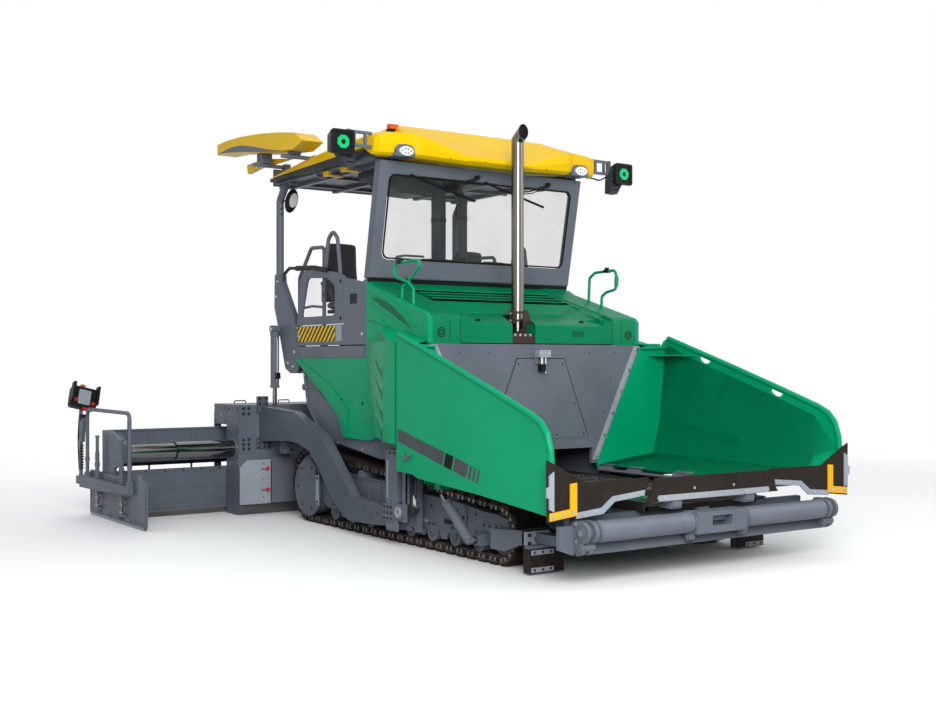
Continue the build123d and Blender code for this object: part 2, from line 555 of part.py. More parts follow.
# ---- augers and limiting plates -------------------------------------------------------------------------------
def auger_left():
    """Spreading auger: a shaft with one helical flight, built up of short flat strips."""
    shaft = rod((70, AUGER_Y, AUGER_Z), (940, AUGER_Y, AUGER_Z), 50)
    steps, turns, low, high = 66, 3.6, 100, 910
    inner, outer, thick = 46, AUGER_R - 12, 12

    def corner(k, radius, side):
        angle = 2 * pi * turns * k / steps
        x = low + (high - low) * k / steps + side * thick / 2
        return (x, AUGER_Y + radius * cos(angle), AUGER_Z + radius * sin(angle))

    rings = [[corner(k, inner, -1), corner(k, outer, -1), corner(k, outer, 1), corner(k, inner, 1)]
             for k in range(steps + 1)]
    faces = []
    for near, far in zip(rings, rings[1:]):
        for i in range(4):
            j = (i + 1) % 4
            faces.append(Face(Wire.make_polygon([near[i], near[j], far[j]])))
            faces.append(Face(Wire.make_polygon([near[i], far[j], far[i]])))
    faces += [Face(Wire.make_polygon(rings[0])), Face(Wire.make_polygon(rings[-1]))]
    flight = Solid(Shell(faces))
    return joined(shaft, flight)


def auger_carrier():
    """Gear case between the augers, the beam above them and the fixed plates beside the tracks."""
    case = box((-65, 65), (AUGER_Y - 110, AUGER_Y + 110), (200, 700))
    beam = box((-1340, 1340), (AUGER_Y - 60, AUGER_Y + 60), (700, 860))
    hanger = box((-700, 700), (1500, AUGER_Y - 60), (720, 840))
    plate = box((1040, 1340), (LIMIT_Y - 12, LIMIT_Y), (130, 640))
    arm = box((1060, 1120), (AUGER_Y + 60, LIMIT_Y), (640, 760))
    side = joined(plate, arm)
    return joined(case, beam, hanger, side, mirrored(side))


def limit_plate_left():
    """Swing-out plate that closes the auger channel at the side, with its vertical hinge tube."""
    plate = prism_y([(LIMIT_HINGE_X, 130), (LIMIT_HINGE_X, 620), (1640, 620), (LIMIT_OUT, 540), (LIMIT_OUT, 130)],
                    LIMIT_Y - 14, LIMIT_Y - 2)
    tube = rod((LIMIT_HINGE_X, LIMIT_Y - 8, 130), (LIMIT_HINGE_X, LIMIT_Y - 8, 620), 9)
    return joined(plate, tube)


# ---- screed ---------------------------------------------------------------------------------------------------
def tow_arm_left():
    """Cranked side arm from the tow point back to the screed."""
    outline = [(TOW_Y - 70, 190), (TOW_Y - 70, 330), (-414, 368), (-55, 394), (474, 864), (607, 971), (1236, 1180),
               (2080, 1215), (2080, 820), (1407, 860), (1120, 850), (857, 778), (675, 632), (409, 372), (194, 229),
               (27, 152), (-296, 155)]
    arm = prism_x(outline, ARM_IN, ARM_OUT)
    arm -= rod((ARM_IN - 1, TOW_Y, TOW_Z), (ARM_OUT + 1, TOW_Y, TOW_Z), TOW_PIN_R + 0.05)
    lug = box((LIFT_X - 25, ARM_IN), (LIFT_Y - 40, LIFT_Y + 40), (LIFT_EYE_Z - 70, LIFT_EYE_Z - 20))
    return joined(arm, lug)


def screed_main():
    """Basic screed: base with its nose, the box that guides the tubes, the rear hood and the walkway."""
    base = prism_x([(MAIN_FRONT_Y, 60), (MAIN_FRONT_Y, 480), (MAIN_REAR_Y, 480), (MAIN_REAR_Y, 0),
                    (MAIN_FRONT_Y + 60, 0)], -MAIN_HALF, MAIN_HALF)
    beam = box((-MAIN_HALF, MAIN_HALF), (MAIN_FRONT_Y + 20, MAIN_REAR_Y), (480, MAIN_TOP))
    beam -= box((-MAIN_HALF + 40, MAIN_HALF - 40), (MAIN_FRONT_Y + 60, MAIN_REAR_Y - 40), (520, MAIN_TOP - 40))
    beam -= rod((-MAIN_HALF - 1, TUBE_Y, TUBE_Z), (MAIN_HALF + 1, TUBE_Y, TUBE_Z), TUBE_R + 6)
    rear = box((-MAIN_HALF, MAIN_HALF), (MAIN_REAR_Y, 2770), (1000, MAIN_TOP))
    rear -= box((-MAIN_HALF + 40, MAIN_HALF - 40), (MAIN_REAR_Y, 2730), (999, MAIN_TOP - 40))
    pieces = [base, beam, rear, box((-MAIN_HALF, MAIN_HALF), WALK_Y, (WALK_Z - 20, WALK_Z + 20))]
    for x in (-1600, 0, 1600):
        pieces.append(box((x - 40, x + 40), (2770, 2900), (1040, 1120)))
        pieces.append(box((x - 40, x + 40), (2870, 2900), (WALK_Z, 1120)))
    return joined(*pieces)


def screed_extension_left():
    """Sliding screed: base, upper wall, end frame and the telescopic tube."""
    base = prism_x([(EXT_FRONT_Y, 60), (EXT_FRONT_Y, 500), (EXT_REAR_Y, 400), (EXT_REAR_Y, 0), (EXT_FRONT_Y + 50, 0)],
                   EXT_IN, EXT_FRAME)
    upper = box((EXT_IN, EXT_FRAME), (EXT_REAR_Y - 40, EXT_REAR_Y), (560, 960))
    end = prism_x([(TUBE_Y - 120, 640), (TUBE_Y - 120, 840), (2560, 960), (EXT_REAR_Y, 960), (EXT_REAR_Y, 0),
                   (EXT_FRONT_Y, 0), (EXT_FRONT_Y, 560)], EXT_FRAME, EXT_OUT - 24)
    inner = box((EXT_IN, EXT_IN + 40), (EXT_REAR_Y - 40, EXT_REAR_Y), (380, 560))
    tube = rod((1600, TUBE_Y, TUBE_Z), (EXT_FRAME, TUBE_Y, TUBE_Z), TUBE_R)
    return joined(base, upper, end, inner, tube)


def end_plate_left():
    """Ski plate at the screed's end with its height spindles, rail and the remote control box."""
    plate = prism_x([(1400, 60), (1400, 440), (1450, 500), (3190, 500), (3190, 20), (3150, 0), (1450, 0)],
                    EXT_OUT - 24, EXT_OUT)
    beam = box((EXT_OUT, EXT_OUT + 60), (1750, REAR_Y), (300, 430))
    rail_x = EXT_OUT + 30
    rail = pipe([(rail_x, 1790, 430), (rail_x, 1790, 1180), (rail_x, 3190, 1180), (rail_x, 3190, 430)], 22, 90)
    spindles = [rod((rail_x, y, 430), (rail_x, y, 900), 24) for y in (2040, 2840)]
    post = box((EXT_OUT + 5, EXT_OUT + 55), (3400, 3450), (430, 1130))
    control = box((EXT_OUT - 150, EXT_OUT + 170), (3380, 3540), (1130, 1460))
    return joined(plate, beam, rail, *spindles, post, control)


def lift_barrels():
    """Lift cylinders of the screed: upper tubes, hung at the deck's rear corners."""
    barrel = rod((LIFT_X, LIFT_Y, 1420), (LIFT_X, LIFT_Y, LIFT_TOP_Z - 20), 48)
    barrel -= rod((LIFT_X, LIFT_Y, 1419), (LIFT_X, LIFT_Y, LIFT_TOP_Z - 60), 28)
    eye = rod((LIFT_X - 50, LIFT_Y, LIFT_TOP_Z), (LIFT_X + 50, LIFT_Y, LIFT_TOP_Z), 40)
    return both(joined(barrel, eye))


def lift_rods():
    """Rods of the lift cylinders, down to the eyes at the screed arms."""
    return both(rod((LIFT_X, LIFT_Y, LIFT_EYE_Z - 10), (LIFT_X, LIFT_Y, 1730), 26))


def main():
    os.makedirs("parts", exist_ok=True)
    single = (chassis, engine, conveyor, hopper_rear_wall, hood, exhaust_pipe, platform, operator_console, seats,
              windscreen_frame, glazing, handrails, roof, work_lamps, front_apron, push_beam, auger_carrier,
              screed_main, lift_barrels, lift_rods)
    for make in single:
        save(make.__name__, make())
    pairs = {"side_bodies": side_body_left, "side_covers": side_cover_left, "side_guards": side_guard_left,
             "rear_posts": rear_post_left, "tow_arms": tow_arm_left}
    for name, make in pairs.items():
        save(name, both(make()))
    handed = (awning_left, track_left, crawler_frame_left, hopper_wing_left, wing_barrel_left, wing_stage_left, wing_rod_left, push_roller_left,
              auger_left, limit_plate_left, screed_extension_left, end_plate_left)
    for make in handed:
        left = make()
        name = make.__name__.removesuffix("_left")
        save(f"{name}_left", left)
        save(f"{name}_right", mirrored(left))


main()
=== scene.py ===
import math

import bmesh
import bpy
from mathutils import Matrix, Vector


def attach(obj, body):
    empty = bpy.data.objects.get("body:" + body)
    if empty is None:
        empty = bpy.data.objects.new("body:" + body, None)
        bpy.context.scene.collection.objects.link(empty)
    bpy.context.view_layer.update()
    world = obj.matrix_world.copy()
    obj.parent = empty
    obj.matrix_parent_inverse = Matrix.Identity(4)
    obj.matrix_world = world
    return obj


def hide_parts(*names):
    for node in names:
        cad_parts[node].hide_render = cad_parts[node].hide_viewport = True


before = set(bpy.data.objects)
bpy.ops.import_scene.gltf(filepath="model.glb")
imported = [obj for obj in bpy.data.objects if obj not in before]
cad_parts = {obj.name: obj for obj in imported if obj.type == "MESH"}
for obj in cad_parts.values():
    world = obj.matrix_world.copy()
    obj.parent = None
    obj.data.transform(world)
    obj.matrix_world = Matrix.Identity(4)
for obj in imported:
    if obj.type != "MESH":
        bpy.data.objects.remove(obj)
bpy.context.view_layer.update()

# Tracked asphalt paver. Metres: hopper towards -Y, screed towards +Y, the machine's left side is +X.
leftAndRight = ("left", "right")
toFront, toRear, toSide, toGround, toSky = (0, -1, 0), (0, 1, 0), (1, 0, 0), (0, 0, -1), (0, 0, 1)


# shader groups: each is built once and placed in materials with its own values
def newGroup(name, inputs, outputs):
    tree = bpy.data.node_groups.new(name, "ShaderNodeTree")
    for label, value in inputs:
        kind = "NodeSocketColor" if isinstance(value, tuple) else "NodeSocketFloat"
        socket = tree.interface.new_socket(label, in_out="INPUT", socket_type=kind)
        socket.default_value = value
    for label, kind in outputs:
        tree.interface.new_socket(label, in_out="OUTPUT", socket_type=kind)
    return tree, tree.nodes.new("NodeGroupInput"), tree.nodes.new("NodeGroupOutput")


def feed(tree, node, values):
    # a plain number or colour is set on the input, anything else is linked to it
    for label, value in values.items():
        if isinstance(value, (int, float, tuple)):
            node.inputs[label].default_value = value
        else:
            tree.links.new(value, node.inputs[label])


def addNode(tree, kind, values=None, **settings):
    node = tree.nodes.new("ShaderNode" + kind)
    for label, value in settings.items():
        setattr(node, label, value)
    feed(tree, node, values or {})
    return node


def objectPlace(tree):
    return addNode(tree, "TexCoord").outputs["Object"]


def splitAxes(tree, vector):
    return addNode(tree, "SeparateXYZ", {0: vector}).outputs


def mathNode(tree, operation, first, second=0):
    return addNode(tree, "Math", {0: first, 1: second}, operation=operation).outputs[0]


def multiply(tree, first, second):
    return mathNode(tree, "MULTIPLY", first, second)


def noiseNode(tree, scale, detail=4, stretch=None, roughness=0.55):
    place = objectPlace(tree)
    if stretch:
        place = addNode(tree, "Mapping", {"Vector": place, "Scale": stretch}).outputs["Vector"]
    values = {"Vector": place, "Scale": scale, "Detail": detail, "Roughness": roughness}
    return addNode(tree, "TexNoise", values).outputs["Fac"]


def rampMask(tree, value, low, high):
    values = {"Value": value, "From Min": low, "From Max": high}
    return addNode(tree, "MapRange", values, interpolation_type="SMOOTHSTEP").outputs["Result"]


def mixColor(tree, factor, first, second):
    return addNode(tree, "Mix", {0: factor, 6: first, 7: second}, data_type="RGBA").outputs[2]


def bumpNormal(tree, height, strength, distance):
    values = {"Height": height, "Strength": strength, "Distance": distance}
    return addNode(tree, "Bump", values).outputs["Normal"]


def makeToneGroup():
    # slow change of tone over a surface, with fine speckle
    inputs = [("Color", (1, 1, 1, 1)), ("Darker", (0, 0, 0, 1)), ("Scale", 2.0), ("Amount", 0.3)]
    tree, given, out = newGroup("toneShift", inputs, [("Color", "NodeSocketColor")])
    slow = rampMask(tree, noiseNode(tree, given.outputs["Scale"], 3), 0.35, 0.75)
    fine = rampMask(tree, noiseNode(tree, 180, 2), 0.45, 0.8)
    mask = mathNode(tree, "ADD", multiply(tree, slow, 0.75), multiply(tree, fine, 0.25))
    mask = multiply(tree, mask, given.outputs["Amount"])
    feed(tree, out, {"Color": mixColor(tree, mask, given.outputs["Color"], given.outputs["Darker"])})
    return tree


def makeDustGroup():
    # dust that gathers low down and on faces that look up
    inputs = [("Color", (1, 1, 1, 1)), ("Dust", (0.3, 0.25, 0.2, 1)), ("Low", 0.1), ("High", 1.0), ("Amount", 0.5)]
    tree, given, out = newGroup("dustCover", inputs, [("Color", "NodeSocketColor"), ("Mask", "NodeSocketFloat")])
    height = rampMask(tree, splitAxes(tree, objectPlace(tree))["Z"], given.outputs["High"], given.outputs["Low"])
    normal = addNode(tree, "NewGeometry").outputs["Normal"]
    up = rampMask(tree, splitAxes(tree, normal)["Z"], -0.2, 1.0)
    patch = rampMask(tree, noiseNode(tree, 9, 6, roughness=0.7), 0.38, 0.66)
    settled = mathNode(tree, "ADD", multiply(tree, up, 0.7), 0.3)
    mask = multiply(tree, multiply(tree, multiply(tree, height, patch), settled), given.outputs["Amount"])
    feed(tree, out, {"Color": mixColor(tree, mask, given.outputs["Color"], given.outputs["Dust"]), "Mask": mask})
    return tree


def makeScratchGroup():
    # thin long scratches and small scuffs
    inputs = [("Density", 0.5), ("Scale", 6.0)]
    tree, given, out = newGroup("scratches", inputs, [("Mask", "NodeSocketFloat")])
    masks = []
    for stretch in ((1, 14, 3), (3, 2, 16), (16, 3, 1)):
        masks.append(rampMask(tree, noiseNode(tree, given.outputs["Scale"], 2, stretch), 0.7, 0.76))
    scuff = rampMask(tree, noiseNode(tree, 4, 2), 0.5, 0.65)
    mask = mathNode(tree, "MAXIMUM", mathNode(tree, "MAXIMUM", masks[0], masks[1]), masks[2])
    feed(tree, out, {"Mask": multiply(tree, multiply(tree, mask, scuff), given.outputs["Density"])})
    return tree


def makeSkinGroup():
    # height of orange peel, casting skin or rubber grain
    inputs = [("Scale", 300.0), ("Depth", 1.0), ("Waves", 0.0)]
    tree, given, out = newGroup("skinHeight", inputs, [("Height", "NodeSocketFloat")])
    fine = multiply(tree, noiseNode(tree, given.outputs["Scale"], 3), given.outputs["Depth"])
    slow = multiply(tree, noiseNode(tree, 3.5, 2), given.outputs["Waves"])
    feed(tree, out, {"Height": mathNode(tree, "ADD", fine, slow)})
    return tree


shaderGroups = {"tone": makeToneGroup(), "dust": makeDustGroup(), "scratch": makeScratchGroup(),
    "skin": makeSkinGroup()}


def placeGroup(tree, name, **values):
    node = addNode(tree, "Group", node_tree=shaderGroups[name])
    feed(tree, node, {label.capitalize(): value for label, value in values.items()})
    return node.outputs


def srgb(red, green, blue):
    # screen colour 0-255 to the linear colour that nodes use
    linear = [c / 3294.6 if c <= 10.3 else ((c / 255 + 0.055) / 1.055) ** 2.4 for c in (red, green, blue)]
    return (*linear, 1)


finishes = {
    # name: colour, darker tone, roughness, metallic, dust amount, dust top, scratches, skin scale, skin depth, coat
    "greenPaint": ((0, 147, 100), (0, 137, 93), 0.36, 0.0, 0.03, 0.9, 0.05, 260, 0.25, 0.04),
    # darker copy of the green for the hood: painted shade, as if under the roof's shadow
    "hoodShadedGreen": ((0, 118, 78), (0, 110, 72), 0.4, 0.0, 0.02, 0.9, 0.05, 260, 0.25, 0.02),
    "greyPaint": ((98, 104, 114), (84, 91, 100), 0.42, 0.0, 0.16, 0.9, 0.18, 240, 0.35, 0.08),
    # darker copy of the grey for the tow arms: painted shade on faces that look down
    "armShadedGrey": ((84, 91, 100), (72, 79, 88), 0.42, 0.0, 0.16, 0.9, 0.18, 240, 0.35, 0.08),
    "lightPaint": ((150, 156, 166), (132, 138, 148), 0.4, 0.0, 0.15, 0.9, 0.2, 240, 0.3, 0.1),
    "yellowPaint": ((230, 188, 0), (218, 174, 0), 0.36, 0.0, 0.0, 0.5, 0.04, 260, 0.2, 0.04),
    "amberPaint": ((238, 170, 20), (215, 150, 10), 0.38, 0.0, 0.15, 0.9, 0.2, 240, 0.3, 0.1),
    "redPaint": ((196, 46, 34), (168, 36, 28), 0.35, 0.0, 0.0, 0.5, 0.1, 240, 0.2, 0.2),
    "orangePlastic": ((214, 88, 40), (190, 72, 30), 0.35, 0.0, 0.0, 0.5, 0.0, 200, 0.2, 0.1),
    "trackSteel": ((66, 58, 54), (44, 38, 35), 0.55, 0.75, 0.55, 0.8, 0.5, 70, 1.2, 0.0),
    "darkSteel": ((58, 56, 55), (40, 38, 37), 0.48, 0.6, 0.3, 0.9, 0.5, 110, 0.7, 0.0),
    "wornSteel": ((120, 118, 115), (82, 78, 74), 0.38, 0.9, 0.3, 0.6, 0.8, 120, 0.6, 0.0),
    "stainless": ((122, 119, 114), (104, 101, 97), 0.24, 1.0, 0.0, 0.5, 0.2, 60, 0.2, 0.0),
    "chromeSteel": ((124, 126, 126), (108, 110, 110), 0.12, 1.0, 0.0, 0.5, 0.1, 60, 0.1, 0.0),
    "zincSteel": ((184, 186, 186), (160, 162, 162), 0.32, 0.85, 0.0, 0.5, 0.2, 120, 0.3, 0.0),
    "rollerPaint": ((106, 111, 122), (88, 93, 104), 0.36, 0.1, 0.12, 0.9, 0.5, 200, 0.3, 0.1),
    "decalGrey": ((66, 72, 76), (58, 63, 67), 0.4, 0.0, 0.1, 0.9, 0.1, 300, 0.1, 0.1),
    # darker green as painted shade, laid in recesses: vent mouths, the flank's crease and the lip's grip
    "greenPaintedShade": ((0, 92, 60), (0, 82, 53), 0.42, 0.0, 0.02, 0.9, 0.0, 260, 0.2, 0.1),
    "rubberSheet": ((38, 33, 29), (28, 25, 22), 0.6, 0.0, 0.16, 1.2, 0.25, 90, 0.9, 0.0),
    "sealRubber": ((24, 24, 25), (16, 16, 17), 0.55, 0.0, 0.0, 0.5, 0.0, 200, 0.4, 0.0),
    "blackPlastic": ((30, 31, 33), (20, 21, 22), 0.42, 0.0, 0.05, 0.9, 0.0, 500, 0.9, 0.0),
    "darkPlastic": ((58, 61, 66), (46, 49, 53), 0.5, 0.0, 0.05, 0.9, 0.0, 420, 0.9, 0.0),
    "lampInside": ((232, 236, 238), (210, 214, 216), 0.15, 0.3, 0.0, 0.5, 0.0, 100, 0.1, 0.0),
    "ringGreen": ((10, 190, 112), (16, 176, 106), 0.35, 0.0, 0.0, 0.5, 0.0, 100, 0.1, 0.2),
    "bracketBrown": ((66, 56, 52), (50, 43, 40), 0.5, 0.2, 0.1, 0.9, 0.3, 150, 0.5, 0.0),
    "asphaltStain": ((34, 31, 29), (22, 20, 19), 0.6, 0.2, 0.35, 1.0, 0.6, 60, 1.8, 0.0),
}


def newMaterial(name):
    material = bpy.data.materials.new(name)
    material.use_nodes = True
    return material, material.node_tree, material.node_tree.nodes["Principled BSDF"]


def makeFinish(name, color, darker, rough, metallic, dust, dustTop, scratches, skinScale, skinDepth, coat):
    material, tree, shader = newMaterial(name)
    color, darker = srgb(*color), srgb(*darker)
    toned = placeGroup(tree, "tone", color=color, darker=darker, scale=1.7, amount=0.85)["Color"]
    scratch = placeGroup(tree, "scratch", density=scratches, scale=7.0)["Mask"]
    pale = tuple(min(1.0, c * 1.3 + 0.012) for c in color[:3]) + (1,)
    scraped = mixColor(tree, scratch, toned, pale)
    covered = placeGroup(tree, "dust", color=scraped, dust=srgb(142, 132, 118), low=0.05, high=dustTop, amount=dust)
    patches = multiply(tree, noiseNode(tree, 5, 5), 0.16)
    dull = multiply(tree, covered["Mask"], 0.5)
    height = placeGroup(tree, "skin", scale=float(skinScale), depth=skinDepth, waves=0.3)["Height"]
    feed(tree, shader, {"Base Color": covered["Color"], "Metallic": metallic, "Roughness": mathNode(tree, "ADD",
        mathNode(tree, "ADD", patches, rough - 0.08), dull), "Specular IOR Level": 0.5 if metallic > 0.5 else 0.08,
        "Coat Weight": coat, "Coat Roughness": 0.12, "Normal": bumpNormal(tree, height, 0.35, 0.0015)})
    return material


finish = {name: makeFinish(name, *values) for name, values in finishes.items()}


def makeGlass(name, tint, rough, cover):
    # clear pane with a faint film of dust
    material, tree, shader = newMaterial(name)
    film = rampMask(tree, noiseNode(tree, 3, 5), 0.3, 0.9)
    feed(tree, shader, {"Base Color": mixColor(tree, film, tint, tuple(c * 0.93 for c in tint[:3]) + (1,)),
        "Roughness": mathNode(tree, "ADD", multiply(tree, film, 0.05), rough),
        "Alpha": mathNode(tree, "ADD", multiply(tree, film, 0.06), cover), "IOR": 1.45, "Coat Weight": 0.15,
        "Coat Roughness": 0.03})
    return material


finish["screenGlass"] = makeGlass("screenGlass", srgb(66, 76, 72), 0.03, 0.15)
finish["tintGlass"] = makeGlass("tintGlass", srgb(50, 56, 60), 0.04, 0.1)


def makeStripes(name, band, pitch, axes):
    # slanted warning bands over the yellow paint
    material = makeFinish(name, *finishes["yellowPaint"])
    tree = material.node_tree
    shader = tree.nodes["Principled BSDF"]
    split = splitAxes(tree, objectPlace(tree))
    along = mathNode(tree, "ADD", split[axes[0]], split[axes[1]])
    share = mathNode(tree, "FRACT", mathNode(tree, "DIVIDE", mathNode(tree, "ADD", along, 40), pitch))
    mask = rampMask(tree, mathNode(tree, "ABSOLUTE", mathNode(tree, "SUBTRACT", share, 0.5)), 0.24, 0.26)
    under = shader.inputs["Base Color"].links[0].from_socket
    feed(tree, shader, {"Base Color": mixColor(tree, mask, under, band)})
    return material


finish["warningStripes"] = makeStripes("warningStripes", srgb(28, 28, 30), 0.085, ("Y", "Z"))


def makeTread(name, base):
    # raised lozenges of a walkway plate
    material = makeFinish(name, *finishes[base])
    tree = material.node_tree
    values = {"Vector": objectPlace(tree), "Scale": 42, "Randomness": 0.0}
    spacing = addNode(tree, "TexVoronoi", values, feature="F1").outputs["Distance"]
    lump = rampMask(tree, spacing, 0.42, 0.28)
    bump = tree.nodes["Principled BSDF"].inputs["Normal"].links[0].from_node
    under = bump.inputs["Height"].links[0].from_socket
    feed(tree, bump, {"Height": mathNode(tree, "ADD", under, multiply(tree, lump, 2.2))})
    return material


finish["treadPlate"] = makeTread("treadPlate", "greyPaint")


def makeCloth(name, color, darker):
    # woven seat cloth
    material, tree, shader = newMaterial(name)
    values = {"Vector": objectPlace(tree), "Scale": 160, "Distortion": 1.0}
    threads = [addNode(tree, "TexWave", values, bands_direction=axis).outputs["Fac"] for axis in ("X", "Z")]
    weave = multiply(tree, *threads)
    feed(tree, shader, {"Base Color": mixColor(tree, weave, darker, color), "Roughness": 0.85, "Sheen Weight": 0.3,
        "Normal": bumpNormal(tree, weave, 0.5, 0.001)})
    return material


finish["seatCloth"] = makeCloth("seatCloth", srgb(44, 45, 48), srgb(22, 22, 24))
print("finishes ready:", len(finish))


# shape tools: each adds to an open bmesh
def setSlot(faces, slot):
    for face in faces:
        face.material_index = slot


def facesOf(verts):
    # faces that touch the verts, each once and in a fixed order
    return list(dict.fromkeys(face for vert in verts for face in vert.link_faces))


def pick(kind, items):
    # only the verts, edges or faces of a mixed list
    return [item for item in items if isinstance(item, getattr(bmesh.types, kind))]


def liftOutline(bm, outline, axis, level):
    # outline points at a level: (y, z) along x, (x, z) along y, (x, y) along z
    return [bm.verts.new({"x": (level, a, b), "y": (a, level, b), "z": (a, b, level)}[axis]) for a, b in outline]


def thicken(bm, faces, axis, depth):
    # faces pulled along an axis: the new verts come back
    far = pick("BMVert", bmesh.ops.extrude_face_region(bm, geom=faces)["geom"])
    bmesh.ops.translate(bm, vec=[depth if name == axis else 0 for name in "xyz"], verts=far)
    return far


def addBlock(bm, low, high, slot=0):
    made = bmesh.ops.create_cube(bm, size=1)["verts"]
    bmesh.ops.scale(bm, vec=[b - a for a, b in zip(low, high)], verts=made)
    bmesh.ops.translate(bm, vec=[(a + b) / 2 for a, b in zip(low, high)], verts=made)
    setSlot(facesOf(made), slot)
    return made


def addSlab(bm, outline, axis, low, high, slot=0):
    # flat outline, thick along one axis
    face = bm.faces.new(liftOutline(bm, outline, axis, low))
    far = thicken(bm, [face], axis, high - low)
    near = list(face.verts)
    faces = facesOf(near + far)
    bmesh.ops.recalc_face_normals(bm, faces=faces)
    setSlot(faces, slot)
    return near + far


def addRod(bm, start, end, radius, slot=0, sides=24, endRadius=None):
    start, end = Vector(start), Vector(end)
    way = end - start
    turn = way.to_track_quat("Z", "Y").to_matrix().to_4x4()
    made = bmesh.ops.create_cone(bm, cap_ends=True, segments=sides, radius1=radius, radius2=radius
        if endRadius is None else endRadius, depth=way.length,
        matrix=Matrix.Translation((start + end) / 2) @ turn)["verts"]
    setSlot(facesOf(made), slot)
    return made


def addRing(bm, start, end, outer, inner, slot=0, sides=32):
    # short tube: a profile spun about the line from start to end
    start, end = Vector(start), Vector(end)
    way = (end - start).normalized()
    side = way.orthogonal().normalized()
    corners = [start + side * inner, start + side * outer, end + side * outer, end + side * inner]
    verts = [bm.verts.new(corner) for corner in corners]
    edges = [bm.edges.new((verts[k], verts[(k + 1) % 4])) for k in range(4)]
    bmesh.ops.spin(bm, geom=verts + edges, cent=start, axis=way, angle=math.tau, steps=sides, use_merge=True)
    bm.verts.ensure_lookup_table()
    region = list(dict.fromkeys(vert for edge in edges if edge.is_valid for vert in edge.verts))
    known = set(region)
    for vert in region:
        # the list grows while it is walked, until the whole ring is in it
        for other in (edge.other_vert(vert) for edge in vert.link_edges):
            if other not in known:
                known.add(other)
                region.append(other)
    faces = facesOf(region)
    bmesh.ops.recalc_face_normals(bm, faces=faces)
    setSlot(faces, slot)
    return region


def addPipe(bm, points, radius, bend=0.0, slot=0, sides=12, smooth=False):
    # round tube along straight runs with rounded corners, or along one smooth line
    curve = bpy.data.curves.new("run", "CURVE")
    curve.dimensions = "3D"
    curve.bevel_depth = radius
    curve.bevel_resolution = max(1, sides // 4 - 1)
    curve.use_fill_caps = True
    points = [Vector(point) for point in points]
    if smooth:
        line = curve.splines.new("NURBS")
        line.points.add(len(points) - 1)
        for target, point in zip(line.points, points):
            target.co = (*point, 1)
        line.order_u = 3
        line.use_endpoint_u = True
        line.resolution_u = 6
    else:
        path = [points[0]]
        for before, corner, after in zip(points, points[1:], points[2:]):
            inward, outward = (before - corner).normalized(), (after - corner).normalized()
            half = inward.angle(outward) / 2
            cut = min(bend / math.tan(half), (before - corner).length * 0.49, (after - corner).length * 0.49)
            for step in range(7):
                share = step / 6
                path.append(corner + inward * cut * (1 - share) ** 2 + outward * cut * share ** 2)
        path.append(points[-1])
        line = curve.splines.new("POLY")
        line.points.add(len(path) - 1)
        for target, point in zip(line.points, path):
            target.co = (*point, 1)
    carrier = bpy.data.objects.new("run", curve)
    mesh = bpy.data.meshes.new_from_object(carrier)
    known = set(bm.verts)
    bm.from_mesh(mesh)
    made = [vert for vert in bm.verts if vert not in known]
    bpy.data.objects.remove(carrier)
    bpy.data.meshes.remove(mesh)
    bpy.data.curves.remove(curve)
    setSlot(facesOf(made), slot)
    for face in facesOf(made):
        face.smooth = True
    return made


def addBolts(bm, places, axis, radius=0.011, height=0.008, slot=0):
    # hexagon heads with a washer under each
    way = Vector(axis)
    for place in places:
        place = Vector(place)
        addRod(bm, place, place + way * height * 0.35, radius * 1.5, slot, 12)
        addRod(bm, place, place + way * height * 1.4, radius, slot, 6)


def addPlate(bm, outline, axis, low, high, slot=0, cuts=()):
    # slab with openings: the outlines are bridged into one sheet by a triangle fill
    edges = []
    for loop in (outline, *cuts):
        verts = liftOutline(bm, loop, axis, low)
        edges += [bm.edges.new((verts[k - 1], verts[k])) for k in range(len(verts))]
    sheet = pick("BMFace", bmesh.ops.triangle_fill(bm, edges=edges, use_beauty=True)["geom"])
    far = thicken(bm, sheet, axis, high - low)
    region = list(dict.fromkeys(vert for edge in edges for vert in edge.verts)) + far
    faces = facesOf(region)
    bmesh.ops.recalc_face_normals(bm, faces=faces)
    rims = list(dict.fromkeys(edge for face in faces for edge in face.edges))
    bmesh.ops.dissolve_limit(bm, angle_limit=0.01, verts=region, edges=rims)
    region = [vert for vert in region if vert.is_valid]
    setSlot(facesOf(region), slot)
    return region


def circle(center, radius, steps=20, start=0.0, sweep=math.tau):
    count = steps if abs(sweep - math.tau) < 1e-6 else steps + 1
    angles = [start + sweep * k / steps for k in range(count)]
    return [(center[0] + radius * math.cos(angle), center[1] + radius * math.sin(angle)) for angle in angles]


def roundedBox(low, high, radius, steps=4):
    # corner-rounded rectangle as an outline
    (x0, y0), (x1, y1) = low, high
    points = []
    for cx, cy, start in ((x1 - radius, y0 + radius, -math.pi / 2), (x1 - radius, y1 - radius, 0),
            (x0 + radius, y1 - radius, math.pi / 2), (x0 + radius, y0 + radius, math.pi)):
        points += circle((cx, cy), radius, steps, start, math.pi / 2)
    return points


def mirrorSide(bm):
    # the same shape on the right side
    bmesh.ops.scale(bm, vec=(-1, 1, 1), verts=bm.verts)
    bmesh.ops.reverse_faces(bm, faces=bm.faces)


def addMirrored(bm):
    made = bmesh.ops.duplicate(bm, geom=bm.verts[:] + bm.edges[:] + bm.faces[:])["geom"]
    bmesh.ops.scale(bm, vec=(-1, 1, 1), verts=pick("BMVert", made))
    bmesh.ops.reverse_faces(bm, faces=pick("BMFace", made))


def pourInto(bm, other):
    # empties another open bmesh into this one
    mesh = bpy.data.meshes.new("poured")
    other.to_mesh(mesh)
    other.free()
    bm.from_mesh(mesh)
    bpy.data.meshes.remove(mesh)


